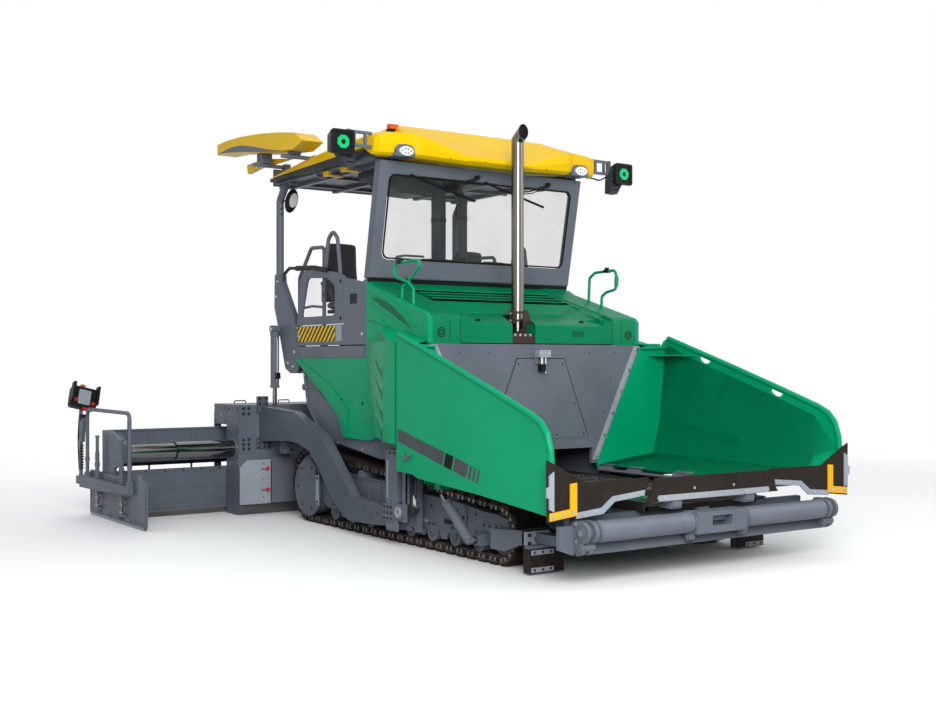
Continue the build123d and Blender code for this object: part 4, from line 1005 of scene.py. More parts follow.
def makeRearWall():
    bm = bmesh.new()
    y = rearWall["front"]
    addSlab(bm, [(-1.28, 1.88), (1.28, 1.88), (1.28, 1.3), (0.96, 0.7), (0.655, 0.7), (0.655, 0.86), (-0.655, 0.86),
        (-0.655, 0.7), (-0.96, 0.7), (-1.28, 1.3)], "y", y, y + rearWall["thick"])
    # hatch plate with its corner bolts
    addSlab(bm, [(-0.6, 0.965), (0.6, 0.965), (0.29, 1.745), (-0.29, 1.745)], "y", y - 0.006, y + 0.004)
    addBolts(bm, [(x * sign, y - 0.006, z) for x, z in ((0.54, 1.0), (0.42, 1.3), (0.27, 1.69), (0.2, 1.0))
        for sign in (-1, 1)], toFront, 0.006, 0.003, 3)
    for first, second in (((-0.6, 0.965), (-0.29, 1.745)), ((0.6, 0.965), (0.29, 1.745)),
            ((-0.29, 1.745), (0.29, 1.745))):
        # dark joint round the hatch
        addPipe(bm, [(first[0], y - 0.006, first[1]), ((first[0] + second[0]) / 2, y - 0.006,
            (first[1] + second[1]) / 2), (second[0], y - 0.006, second[1])], 0.0035, 0.01, 3, 6)
    # slanted strips that the wings close against
    for sign in (-1, 1):
        addSlab(bm, [(sign * 1.285, 1.87), (sign * 1.205, 1.87), (sign * 0.655, 0.735), (sign * 0.735, 0.735)], "y",
            y - 0.014, y, 2)
        addBolts(bm, [(sign * (1.245 - 0.55 * k / 5), y - 0.014, 1.84 - 1.08 * k / 5) for k in range(6)], toFront,
            0.013, 0.003, 1)
    # level sensor on its bracket
    addBlock(bm, (-0.07, y - 0.075, 1.755), (0.07, y, 1.825), 2)
    addBlock(bm, (-0.085, y - 0.02, 1.69), (0.085, y, 1.77))
    addRod(bm, (-0.02, y - 0.045, 1.65), (-0.02, y - 0.045, 1.77), 0.018, 1, 16)
    addRod(bm, (0.03, y - 0.04, 1.6), (0.03, y - 0.04, 1.77), 0.011, 1, 12)
    addBlock(bm, (-0.045, y - 0.07, 1.62), (0.015, y - 0.02, 1.69), 3)
    addBolts(bm, [(-0.05, y - 0.075, 1.79), (0.05, y - 0.075, 1.79)], toFront, 0.01, 0.006, 1)
    addBolts(bm, [(sign * x, y, z) for x, z in ((0.95, 1.8), (0.62, 1.8), (0.8, 1.2), (0.9, 1.55))
        for sign in (-1, 1)], toFront, 0.005, 0.002, 3)
    addSlab(bm, [(y - 0.03, 0.86), (y + 0.04, 0.86), (y + 0.04, 0.885), (y - 0.03, 0.885)], "x", -0.655, 0.655)
    finishPiece(bm, "rear_wall_plate", "tractor", ["greyPaint", "zincSteel", "lightPaint", "blackPlastic"], 0.003, 2,
        ["hopper_rear_wall"])


conveyor = {"front": -3.36, "rear": 1.44, "floor": 0.558, "pitch": 0.265, "bars": 18}


def makeConveyor():
    bm = bmesh.new()
    low, high, floor = conveyor["front"], conveyor["rear"], conveyor["floor"]
    addBlock(bm, (-0.64, low, floor - 0.038), (0.64, high, floor))
    addSlab(bm, [(-0.055, floor), (0.055, floor), (0.03, floor + 0.045), (-0.03, floor + 0.045)], "y", low, high, 1)
    for sign in (-1, 1):
        addBlock(bm, (sign * 0.625 - 0.025, low, floor - 0.04), (sign * 0.625 + 0.025, high, floor + 0.04), 1)
        # side link chain of the bars
        for k in range(58):
            y = low + 0.06 + k * 0.0805
            addBlock(bm, (sign * 0.585 - 0.008, y - 0.034, floor + 0.002),
                (sign * 0.585 + 0.008, y + 0.034, floor + 0.028), 2)
    for k in range(conveyor["bars"]):
        y = low + 0.13 + k * conveyor["pitch"]
        for sign in (-1, 1):
            addSlab(bm, [(y - 0.018, floor), (y - 0.014, floor + 0.026), (y + 0.014, floor + 0.026),
                (y + 0.018, floor)], "x", sign * 0.06, sign * 0.572, 2)
    finishPiece(bm, "conveyor_deck", "tractor", ["asphaltStain", "darkSteel", "wornSteel"], 0.002, 1, ["conveyor"])


makeHood()
makeHoodLoops()
makeCovers()
makeExhaust()
makeRearWall()
makeConveyor()
print("hood, covers, exhaust and hopper wall ready")


# windscreen, roof and lamps
screen = {"bottomY": -0.045, "bottomZ": 2.54, "topY": -0.27, "topZ": 3.68, "openHalf": 1.15, "openLow": 2.73,
    "openHigh": 3.56, "corner": 0.075}


def screenY(z):
    return screen["bottomY"] + (screen["topY"] - screen["bottomY"]) * (z - screen["bottomZ"]) / (screen["topZ"]
        - screen["bottomZ"])


def leanBack(bm, verts):
    # an upright sheet drawn at y = 0 takes the windscreen's lean
    for vert in verts:
        vert.co.y += screenY(vert.co.z)


def makeScreenFrame():
    bm = bmesh.new()
    half, low, high = screen["openHalf"], screen["openLow"], screen["openHigh"]
    outer = [(-1.262, 2.545), (1.262, 2.545), (1.262, 3.68), (-1.262, 3.68)]
    opening = roundedBox((-half, low), (half, high), screen["corner"], 6)
    leanBack(bm, addPlate(bm, outer, "y", -0.03, 0.03, 0, [opening]))
    for sign in (-1, 1):
        # deep side posts behind the frame
        leanBack(bm, addBlock(bm, (sign * 1.225 - 0.035, 0.028, 2.545), (sign * 1.225 + 0.035, 0.085, 3.68)))
    seal = roundedBox((-half + 0.004, low + 0.004), (half - 0.004, high - 0.004), screen["corner"], 6)
    inside = roundedBox((-half + 0.02, low + 0.02), (half - 0.02, high - 0.02), screen["corner"] - 0.014, 6)
    leanBack(bm, addPlate(bm, seal, "y", -0.038, -0.022, 1, [inside]))
    leanBack(bm, addBlock(bm, (-1.255, -0.034, 2.552), (1.255, 0.02, 2.575)))
    leanBack(bm, addSlab(bm, [(-1.262, 2.5), (1.262, 2.5), (1.262, 2.548), (-1.262, 2.548)], "y", -0.018, 0.03, 1))
    finishPiece(bm, "screen_frame", "tractor", ["greyPaint", "sealRubber"], 0.005, 3, ["windscreen_frame"],
        40)


def makeGlassPanes():
    bm = bmesh.new()
    half, low, high = screen["openHalf"], screen["openLow"], screen["openHigh"]
    pane = roundedBox((-half + 0.012, low + 0.012), (half - 0.012, high - 0.012), screen["corner"] - 0.01, 6)
    leanBack(bm, addSlab(bm, pane, "y", -0.028, -0.022))
    for sign in (-1, 1):
        window = [(0.63, 2.2), (0.63, 2.54), (0.77, 2.6), (1.27, 2.6), (1.395, 2.2)]
        addSlab(bm, window, "x", sign * 1.2515, sign * 1.2575, 1)
    finishPiece(bm, "glass_panes", "tractor", ["screenGlass", "tintGlass"], 0, 1, ["glazing"])


def makeWipers():
    bm = bmesh.new()
    for x, swing in ((-0.12, 0.4), (0.8, 0.42)):
        # motor boss under the roof lip, arm and blade parked along the top
        top = 3.6
        leanBack(bm, addRod(bm, (x, -0.075, top), (x, -0.02, top), 0.022, 0, 16))
        leanBack(bm, addPipe(bm, [(x, -0.07, top), (x - swing * 0.55, -0.07, top - 0.085),
            (x - swing, -0.06, top - 0.12)], 0.009, 0.02, 0, 8))
        leanBack(bm, addPipe(bm, [(x + 0.02, -0.064, top - 0.01), (x - swing * 0.5, -0.062, top - 0.105),
            (x - swing + 0.01, -0.06, top - 0.135)], 0.006, 0.02, 0, 8))
        leanBack(bm, addSlab(bm, [(x - swing - 0.4, top - 0.03), (x - swing + 0.4, top - 0.226),
            (x - swing + 0.4, top - 0.246), (x - swing - 0.4, top - 0.05)], "y", -0.056, -0.04, 1))
    finishPiece(bm, "wipers", "tractor", ["blackPlastic", "sealRubber"], 0.001, 1, ())


roof = {
    # x, front edge of the top and its height, nose and height of the crease, lip, underside behind the lip
    "stations": [(0.0, 0.0, 4.105, -0.56, 3.755, 3.675, 3.695), (0.4, 0.0, 4.105, -0.56, 3.755, 3.675, 3.695),
                 (0.93, -0.02, 4.095, -0.505, 3.915, 3.7, 3.715), (1.0, -0.3, 3.965, -0.478, 3.935, 3.712, 3.725),
                 (1.25, -0.3, 3.955, -0.452, 3.92, 3.702, 3.725), (1.34, -0.28, 3.93, -0.425, 3.9, 3.705, 3.79),
                 (1.385, -0.23, 3.9, -0.365, 3.872, 3.715, 3.8)],
    "rear": 2.02, "lampX": 1.095, "lampZ": 3.752, "lampY": -0.478,
}


def roofSection(edge, top, nose, crease, low, under):
    # side profile: top, sloping front, crease, upright band and lip
    return [(1.95, top - 0.15), (1.2, top - 0.07), (0.5, top - 0.022), (edge, top), (nose, crease),
        (nose - 0.004, (crease + low) / 2), (nose + 0.014, low + 0.026), (nose + 0.06, low), (-0.16, under)]


def makeRoofShell():
    bm = bmesh.new()
    stations = [(-x, *rest) for x, *rest in roof["stations"][:0:-1]] + roof["stations"]
    rows = [[bm.verts.new((x, y, z)) for y, z in roofSection(*rest)] for x, *rest in stations]
    count = len(rows[0])
    for left, right in zip(rows, rows[1:]):
        for k in range(count):
            after = (k + 1) % count
            bm.faces.new((left[k], right[k], right[after], left[after]))
    for row in (rows[0], rows[-1]):
        bmesh.ops.triangulate(bm, faces=[bm.faces.new(row)])
    bmesh.ops.recalc_face_normals(bm, faces=bm.faces)
    finishPiece(bm, "roof_shell", "tractor", ["yellowPaint"], 0.012, 3, ["roof"], 12)


def makeRoofUnder():
    bm = bmesh.new()
    rear = roof["rear"]
    # grey tray with its stiffening beams
    addBlock(bm, (-1.29, -0.18, 3.7), (1.29, rear, 3.765))
    for x in (-1.1, -0.55, 0.55, 1.1):
        addBlock(bm, (x - 0.03, -0.15, 3.66), (x + 0.03, rear - 0.05, 3.7))
    for y in (0.35, 1.05, 1.7):
        addBlock(bm, (-1.25, y - 0.025, 3.67), (1.25, y + 0.025, 3.7))
    addBlock(bm, (-1.3, rear - 0.03, 3.69), (1.3, rear + 0.01, 3.88))
    addBlock(bm, (-0.5, 0.45, 3.655), (0.5, 0.95, 3.7), 1)
    for sign in (-1, 1):
        # side gutters between the tray and the moulding, with amber clips of the awnings
        addSlab(bm, [(-0.16, 3.765), (-0.16, 3.8), (1.95, 3.755), (1.95, 3.72), (0.2, 3.72)], "x", sign * 1.286,
            sign * 1.375, 1)
        for y in (0.42, 0.8):
            addBlock(bm, (sign * 1.18 - 0.1, y - 0.03, 3.655), (sign * 1.18 + 0.1, y + 0.03, 3.672), 3)
            addBlock(bm, (sign * 1.27 - 0.02, y - 0.05, 3.65), (sign * 1.27 + 0.02, y + 0.05, 3.722), 3)
    for x in (-0.28, 0.0, 0.28):
        addRod(bm, (x, 0.7, 3.65), (x, 0.7, 3.66), 0.06, 2, 20)
    for sign in (-1, 1):
        # slides that carry the awnings
        for y in (1.05, 1.75):
            addBlock(bm, (sign * 1.45 - 0.22, y - 0.022, 3.847), (sign * 1.45 + 0.198, y + 0.022, 3.885))
            addBlock(bm, (sign * 1.27 - 0.035, y - 0.045, 3.77), (sign * 1.27 + 0.035, y + 0.045, 3.9))
    finishPiece(bm, "roof_tray", "tractor", ["greyPaint", "darkPlastic", "lampInside", "yellowPaint"], 0.005, 2, ())


awning = {"low": 1.4, "high": 1.64, "top": [(0.62, 3.965), (0.82, 4.075), (1.2, 4.135), (1.65, 4.19), (2.15, 4.232),
    (2.55, 4.245), (2.8, 4.235)], "bottom": [(2.8, 4.115), (2.45, 4.095), (2.05, 4.045), (1.6, 3.975), (1.2, 3.935),
    (0.85, 3.905)], "tail": [(1.3, 3.893), (1.8, 3.955), (2.12, 3.975), (2.42, 3.97), (2.4, 3.866), (2.06, 3.893)],}


def makeAwnings():
    for side in leftAndRight:
        bm = bmesh.new()
        low, high = awning["low"], awning["high"]
        addSlab(bm, awning["top"] + awning["bottom"], "x", low, high)
        # darker inner band along the lower edge of the outer face
        band = [(1.1, 3.93), (1.42, 3.985), (1.85, 4.082), (2.165, 4.138), (2.45, 4.15), (2.76, 4.126), (2.45, 4.1),
            (2.05, 4.05), (1.6, 3.98), (1.22, 3.94)]
        addSlab(bm, band, "x", high - 0.001, high + 0.003, 1)
        addSlab(bm, awning["tail"], "x", 1.39, 1.44)
        addSlab(bm, [(2.0, 3.96), (2.15, 3.965), (2.15, 4.08), (2.0, 4.06)], "x", 1.402, 1.44, 1)
        for y, z in ((1.05, 3.96), (1.75, 4.04)):
            addBlock(bm, (1.46, y - 0.04, 3.887), (1.58, y + 0.04, z), 1)
            addBolts(bm, [(x, y - 0.04, 3.91) for x in (1.49, 1.55)], toFront, 0.01, 0.006, 1)
        finishPiece(bm, "awning_shell", "tractor", ["yellowPaint", "greyPaint"], 0.014, 3, ["awning"], 30,
            side=side)


def makeRoofLamps():
    bm = bmesh.new()
    x0, z0, y0 = roof["lampX"], roof["lampZ"], roof["lampY"]
    for sign in (-1, 1):
        # dark arch let into the lower edge of each pod, with an oval cluster in it
        arch = [(0.112, -0.055), (0.104, 0.02), (0.075, 0.058), (0.0, 0.066), (-0.075, 0.058), (-0.104, 0.02),
            (-0.112, -0.055)]
        addSlab(bm, [(sign * (x0 + a), z0 + b) for a, b in arch], "y", y0 - 0.01, y0 + 0.16, 1)
        oval = [(sign * x0 + a * 0.078, z0 - 0.004 + b * 0.046) for a, b in circle((0, 0), 1, 28)]
        addSlab(bm, oval, "y", y0 - 0.034, y0 + 0.04)
        for a, b in ((-0.048, 0), (-0.016, 0.02), (-0.016, -0.02), (0.016, 0.02), (0.016, -0.02), (0.048, 0)):
            addRod(bm, (sign * x0 + a, y0 - 0.0375, z0 - 0.004 + b), (sign * x0 + a, y0 - 0.033, z0 - 0.004 + b),
                0.0075, 2, 12)
    # marker lamp beside the front edge of the top
    addBlock(bm, (-1.03, -0.085, 4.03), (-0.93, -0.02, 4.088), 3)
    addBlock(bm, (-1.036, -0.09, 4.02), (-0.924, -0.015, 4.04), 2)
    # screws along the band
    for x in (-0.62, -0.2, 0.24, 0.58):
        addRod(bm, (x, -0.566, 3.712), (x, -0.56, 3.712), 0.006, 2, 10)
    finishPiece(bm, "roof_lamps", "tractor", ["lampInside", "greyPaint", "sealRubber", "orangePlastic"], 0.004, 2, ())


workLamp = {"x": 1.756, "z": 3.78, "front": -0.45, "half": 0.122, "tall": 0.117}


def makeWorkLamps():
    bm = bmesh.new()
    for sign in (-1, 1):
        x = sign * workLamp["x"]
        z, y, half, tall = (workLamp[key] for key in ("z", "front", "half", "tall"))
        # square head, tapered to the back, its face cut at the corners
        head = roundedBox((x - half, z - tall), (x + half, z + tall), 0.024, 2)
        glass = roundedBox((x - half * 0.74, z - tall * 0.76), (x + half * 0.74, z + tall * 0.76), 0.014, 2)
        addPlate(bm, head, "y", y, y + 0.03, 0, [glass])
        addSlab(bm, glass, "y", y + 0.01, y + 0.03)
        body = addSlab(bm, head, "y", y + 0.03, y + 0.155)
        back = [vert for vert in body if vert.co.y > y + 0.1]
        bmesh.ops.scale(bm, vec=(0.74, 1, 0.74), space=Matrix.Translation((-x, 0, -z)), verts=back)
        ring = circle((x, z), 0.066, 8, math.pi / 8)
        hole = circle((x, z), 0.026, 8, math.pi / 8)
        addPlate(bm, ring, "y", y - 0.002, y + 0.011, 1, [hole])
        # wedge-shaped housing hung behind, towards the cab, with a ribbed flank
        low = [(sign * 1.602, 3.57), (sign * 1.7, 3.562), (sign * 1.78, 3.69), (sign * 1.75, 3.86),
            (sign * 1.64, 3.86), (sign * 1.606, 3.72)]
        addSlab(bm, low, "y", -0.4, -0.3, 2)
        for k in range(5):
            z1 = 3.6 + k * 0.045
            addBlock(bm, (sign * 1.655 - 0.045, -0.404, z1), (sign * 1.655 + 0.045, -0.4, z1 + 0.012))
        # ladder bracket
        for z0 in (3.785, 3.914):
            addBlock(bm, (sign * 1.51 - 0.13, -0.335, z0 - 0.014), (sign * 1.51 + 0.13, -0.303, z0 + 0.014), 3)
        for k in range(2):
            x0 = sign * (1.45 + 0.12 * k)
            addBlock(bm, (x0 - 0.012, -0.333, 3.785), (x0 + 0.012, -0.305, 3.914), 3)
        addBlock(bm, (sign * 1.64 - 0.014, -0.345, 3.76), (sign * 1.64 + 0.014, -0.29, 3.93), 3)
        addPipe(bm, [(sign * 1.62, -0.3, 3.76), (sign * 1.55, -0.29, 3.7), (sign * 1.42, -0.29, 3.735),
            (sign * 1.36, -0.28, 3.725)], 0.009, 0.03, 0, 8, smooth=True)
    finishPiece(bm, "work_lamp_heads", "tractor", ["blackPlastic", "ringGreen", "darkPlastic", "greyPaint"], 0.004, 2,
        ["work_lamps"])


# posts, guards and deck
post = {"x": 1.2, "y": 2.05, "in": 1.165, "out": 1.235}


def makeRearPosts():
    bm = bmesh.new()
    for sign in (-1, 1):
        low, high = sign * post["in"], sign * post["out"]
        # cranked bracket of two cheeks and a web
        outline = [(1.435, 1.752), (1.57, 2.1), (1.945, 2.6), (1.96, 2.7), (2.12, 2.7), (2.13, 2.33), (2.02, 2.08),
            (1.85, 1.64), (1.72, 1.585), (1.56, 1.585)]
        addSlab(bm, outline, "x", low, low + sign * 0.012)
        addSlab(bm, outline, "x", high - sign * 0.012, high)
        addSlab(bm, [(1.46, 1.752), (1.585, 2.085), (1.965, 2.6), (1.985, 2.59), (1.61, 2.08), (1.49, 1.74)], "x",
            low + sign * 0.01, high - sign * 0.01)
        addSlab(bm, [(2.095, 2.68), (2.108, 2.33), (2.0, 2.09), (1.83, 1.66), (1.85, 1.65), (2.025, 2.09),
            (2.13, 2.33), (2.12, 2.68)], "x", low + sign * 0.01, high - sign * 0.01)
        addBlock(bm, (sign * post["x"] - 0.034, 1.968, 2.52), (sign * post["x"] + 0.034, 2.112, 2.62))
        addPipe(bm, [(sign * post["x"], post["y"], 2.5), (sign * post["x"], post["y"], 3.54),
            (sign * post["x"], post["y"] - 0.13, 3.68)], 0.043, 0.1, 0, 20)
        addRing(bm, (sign * post["x"], post["y"], 2.655), (sign * post["x"], post["y"], 2.7), 0.054, 0.035, 0, 24)
        addBolts(bm, [(high, y, z) for y, z in ((2.04, 2.62), (2.08, 2.45), (1.66, 1.66), (1.78, 1.7), (1.62, 1.82))],
            (sign, 0, 0), 0.012, 0.008, 1)
        addBlock(bm, (sign * post["x"] - 0.045, post["y"] - 0.2, 3.655),
            (sign * post["x"] + 0.045, post["y"] - 0.07, 3.702))
        # lever latch under the collar
        addSlab(bm, [(2.118, 2.5), (2.165, 2.53), (2.17, 2.57), (2.125, 2.61)], "x", low + sign * 0.02,
            high - sign * 0.02)
    finishPiece(bm, "rear_post_shells", "tractor", ["greyPaint", "zincSteel"], 0.004, 2, ["rear_posts"])


def makeMirrors():
    # oval lamp on the near post, mirror on the other
    bm = bmesh.new()
    for sign in (-1, 1):
        x, y, z = sign * 1.15, 1.865, 3.52
        addPipe(bm, [(sign * 1.2, 2.02, 3.5), (sign * 1.19, 1.96, 3.53), (x, y, z)], 0.009, 0.02, 0, 8)
        made = bmesh.ops.create_uvsphere(bm, u_segments=24, v_segments=14, radius=0.1)["verts"]
        bmesh.ops.scale(bm, vec=(0.74, 0.5, 1.4), verts=made)
        bmesh.ops.rotate(bm, matrix=Matrix.Rotation(math.radians(-16 * sign), 3, "Y"), verts=made)
        bmesh.ops.translate(bm, vec=(x, y, z), verts=made)
        face = circle((0, 0), 0.064, 24)
        lens = addSlab(bm, [(a * 0.74, b * 1.32) for a, b in face], "y", -0.056, -0.04, 1)
        rim = circle((0, 0), 0.076, 24)
        lens += addSlab(bm, [(a * 0.74, b * 1.32) for a, b in rim], "y", -0.05, -0.03)
        bmesh.ops.rotate(bm, matrix=Matrix.Rotation(math.radians(-16 * sign), 3, "Y"), verts=lens)
        bmesh.ops.translate(bm, vec=(x, y, z), verts=lens)
    for z in (3.38, 3.44):
        addBolts(bm, [(-1.2, 2.014, z)], toFront, 0.01, 0.012)
    finishPiece(bm, "post_lamps", "tractor", ["blackPlastic", "lampInside"], 0, 1, (), 50)


guard = {"in": 1.24, "out": 1.27}


def makeSideGuards():
    bm = bmesh.new()
    window = roundedWindow()
    for sign in (-1, 1):
        low, high = sign * guard["in"], sign * guard["out"]
        outer = [(0.438, 2.105), (0.438, 2.59), (0.62, 2.64), (1.1, 2.7), (1.33, 2.69), (1.4, 2.61), (1.49, 2.105)]
        addPlate(bm, outer, "x", low, high, 0, [window])
        addBolts(bm, [(high, y, z) for y, z in ((0.5, 2.54), (0.5, 2.16))], (sign, 0, 0), 0.013, 0.004, 1)
        # padded bar on the upper edge
        addPipe(bm, [(sign * 1.255, 0.78, 2.665), (sign * 1.255, 1.12, 2.715), (sign * 1.255, 1.52, 2.735)], 0.03,
            0.05, 1, 16)
        addPipe(bm, [(sign * 1.255, 1.5, 2.735), (sign * 1.245, 1.72, 2.75), (sign * 1.235, 1.86, 2.7)], 0.018, 0.05,
            1)
        # warning stripes and the light patch ahead of them
        addSlab(bm, [(0.62, 2.09), (0.62, 1.925), (1.44, 1.925), (1.49, 2.09)], "x", high, high + sign * 0.0015, 2)
        addSlab(bm, [(0.48, 2.088), (0.48, 1.93), (0.605, 1.93), (0.605, 2.088)], "x", high, high + sign * 0.0015, 3)
        # blank plate
        addSlab(bm, roundedBox((0.16, 2.3), (0.3, 2.4), 0.01, 3), "x", high - sign * 0.001, high + sign * 0.0035, 1)
    finishPiece(bm, "side_guard_panels", "tractor", ["greyPaint", "blackPlastic", "warningStripes", "lightPaint"],
        0.003, 2, ["side_guards"])


def roundedWindow():
    corners = [(0.625, 2.195), (0.625, 2.5), (0.8, 2.592), (1.255, 2.61), (1.395, 2.195)]
    points = []
    count = len(corners)
    for k in range(count):
        before, corner, after = (Vector(corners[(k + i) % count]) for i in (-1, 0, 1))
        inward, outward = (before - corner).normalized() * 0.05, (after - corner).normalized() * 0.05
        for step in range(5):
            t = step / 4
            points.append(tuple(corner + inward * (1 - t) ** 2 + outward * t ** 2))
    return points


deck = {"half": 1.27, "front": -0.04, "rear": 1.43, "low": 1.75, "top": 1.88}


def makePlatform():
    bm = bmesh.new()
    half = deck["half"]
    addBlock(bm, (-half, deck["front"], deck["low"]), (half, deck["rear"], deck["top"] - 0.006))
    addBlock(bm, (-half + 0.03, 0.3, deck["top"] - 0.006), (half - 0.03, deck["rear"], deck["top"]), 1)
    addBlock(bm, (-1.165, deck["rear"], deck["low"]), (1.165, 1.84, deck["top"] - 0.006))
    addBlock(bm, (-1.15, deck["rear"], deck["top"] - 0.006), (1.15, 1.835, deck["top"]), 1)
    addBlock(bm, (-half, deck["front"], deck["top"]), (half, 0.01, 2.535))
    for sign in (-1, 1):
        high = sign * half
        addSlab(bm, [(0.01, 1.885), (0.01, 2.505), (0.43, 2.572), (0.43, 1.885)], "x", high - sign * 0.03, high)
        addSlab(bm, [(0.432, 1.885), (0.432, 2.098), (1.5, 2.098), (1.432, 1.885)], "x", high - sign * 0.03, high)
        addSlab(bm, [(0.01, 1.755), (0.01, 1.87), (1.425, 1.87), (1.4, 1.755)], "x", high, high + sign * 0.006)
        addBolts(bm, [(high, y, 1.99) for y in (0.06, 1.45)], (sign, 0, 0), 0.011, 0.005, 2)
        addBlock(bm, (high - sign * 0.05 - 0.01, 0.2, 1.7), (high - sign * 0.05 + 0.01, 0.32, 1.76), 2)
    # rear step with its open treads
    for x in (-0.4, 0.4):
        addBlock(bm, (x - 0.015, 1.842, 1.31), (x + 0.015, 1.898, 1.87))
    for z in (1.34, 1.6, 1.85):
        addBlock(bm, (-0.4, 1.845, z - 0.012), (0.4, 1.895, z + 0.012), 1)
    finishPiece(bm, "platform_deck", "tractor", ["greyPaint", "treadPlate", "zincSteel"], 0.005, 2, ["platform"])


def makeConsole():
    bm = bmesh.new()
    # cross desk
    addSlab(bm, [(0.3, 1.88), (0.3, 2.54), (0.38, 2.62), (0.6, 2.52), (0.6, 2.45), (0.44, 2.39), (0.44, 1.88)], "x",
        -0.96, 0.96)
    # two raised control panels with screens, angled to the seats
    for x, turn in ((-0.1, -8), (0.62, 10)):
        panel = []
        panel += addSlab(bm, [(0.36, 2.6), (0.33, 2.79), (0.37, 2.81), (0.56, 2.7), (0.6, 2.56)], "x", x - 0.23,
            x + 0.23)
        panel += addSlab(bm, [(0.35, 2.8), (0.56, 2.705), (0.566, 2.716), (0.354, 2.812)], "x", x - 0.16, x + 0.06, 2)
        bmesh.ops.rotate(bm, cent=(x, 0.46, 2.7), matrix=Matrix.Rotation(math.radians(turn), 3, "Z"), verts=panel)
        for k in range(5):
            addRod(bm, (x - 0.16 + k * 0.055, 0.515, 2.735), (x - 0.16 + k * 0.055, 0.525, 2.762), 0.011, 3, 10)
    addPipe(bm, [(-0.62, 0.42, 2.6), (-0.62, 0.48, 2.82), (-0.5, 0.5, 2.84), (-0.26, 0.5, 2.84)], 0.014, 0.04, 1, 10)
    addPipe(bm, [(0.86, 0.42, 2.56), (0.86, 0.5, 2.74), (0.94, 0.52, 2.76)], 0.014, 0.04, 1, 10)
    # steering wheel at the near panel
    bmesh.ops.create_cone(bm, segments=20, radius1=0.035, radius2=0.028, depth=0.14, cap_ends=True,
        matrix=Matrix.Translation((-0.7, 0.66, 2.52)) @ Matrix.Rotation(math.radians(28), 4, "X"))
    wheel = addRing(bm, (0, 0, -0.012), (0, 0, 0.012), 0.19, 0.165, 3, 40)
    for k in range(3):
        angle = k * math.tau / 3
        wheel += addRod(bm, (0, 0, 0), (0.17 * math.cos(angle), 0.17 * math.sin(angle), 0), 0.01, 3, 8)
    bmesh.ops.rotate(bm, matrix=Matrix.Rotation(math.radians(28), 3, "X"), verts=wheel)
    bmesh.ops.translate(bm, vec=(-0.7, 0.635, 2.6), verts=wheel)
    finishPiece(bm, "console_desk", "tractor", ["darkPlastic", "greyPaint", "sealRubber", "blackPlastic"], 0.008, 2,
        ["operator_console"])


def makeAirDucts():
    bm = bmesh.new()
    # wide and narrow ducts from the desk up to the roof, with ribbed joints
    addPipe(bm, [(-0.18, 0.33, 2.5), (-0.18, 0.33, 3.38), (-0.18, 0.33, 3.56), (-0.42, 0.33, 3.575),
        (-0.7, 0.33, 3.6)], 0.078, 0.16, 0, 24)
    addPipe(bm, [(0.13, 0.33, 2.56), (0.13, 0.33, 3.46), (0.02, 0.33, 3.6), (-0.12, 0.33, 3.62)], 0.05, 0.14, 0, 20)
    addSlab(bm, [(-1.06, 3.69), (-0.3, 3.69), (-0.3, 3.56), (-0.48, 3.44), (-0.78, 3.45), (-0.94, 3.56),
        (-1.06, 3.6)], "y", 0.16, 0.5)
    for z in (2.76, 3.2):
        addRing(bm, (-0.18, 0.33, z), (-0.18, 0.33, z + 0.03), 0.084, 0.074, 1, 28)
    for z in (2.8, 3.24):
        addRing(bm, (0.13, 0.33, z), (0.13, 0.33, z + 0.025), 0.056, 0.046, 1, 24)
    finishPiece(bm, "air_ducts", "tractor", ["darkPlastic", "blackPlastic"], 0.006, 2, (), 40)


def makeHandrails():
    bm = bmesh.new()
    for sign in (-1, 1):
        x = sign * 1.218
        addPipe(bm, [(x, 0.56, 2.3), (x, 0.61, 2.72), (x, 0.66, 3.0), (x, 0.76, 3.08), (x, 0.86, 3.0),
            (x, 0.965, 2.45)], 0.021, 0.07, 0, 16)
        x = sign * 1.13
        addPipe(bm, [(x, 1.12, 1.88), (x, 1.12, 2.945), (x, 1.42, 2.955), (x, 1.7, 2.64), (x, 1.7, 1.88)], 0.021,
            0.07, 0, 16)
        for y in (1.12, 1.7):
            addRod(bm, (x, y, 1.878), (x, y, 1.892), 0.045, 0, 20)
        addPipe(bm, [(x, 1.125, 2.3), (x, 1.4, 2.32), (x, 1.7, 2.3)], 0.014, 0.05)
    finishPiece(bm, "handrail_tubes", "tractor", ["greyPaint"], 0, 1, ["handrails"], 50)


def makeCushion(name, outline, low, high, swell):
    # stuffed block: the outline is extruded across, refined and blown outwards, with sewn channels pressed in
    bm = bmesh.new()
    addSlab(bm, outline, "x", low, high)
    bmesh.ops.triangulate(bm, faces=bm.faces)
    bmesh.ops.subdivide_edges(bm, edges=bm.edges, cuts=3, use_grid_fill=True)
    bmesh.ops.remove_doubles(bm, verts=bm.verts, dist=0.0005)
    bm.normal_update()
    middle = (low + high) / 2
    half = (high - low) / 2
    shifts = []
    for vert in bm.verts:
        across = (vert.co.x - middle) / half
        channel = 0.01 * max(0.0, 1 - abs(abs(across) - 0.52) / 0.07)
        shifts.append(vert.normal * (swell * (1 - across * across) - channel))
    for vert, shift in zip(bm.verts, shifts):
        vert.co += shift
    for _ in range(3):
        bmesh.ops.smooth_vert(bm, verts=bm.verts, factor=0.5, use_axis_x=True, use_axis_y=True, use_axis_z=True)
    piece = finishPiece(bm, name, "tractor", ["seatCloth"], 0, 1, (), 80)
    rounding = piece.modifiers.new("round", "SUBSURF")
    rounding.levels = rounding.render_levels = 1
    return piece


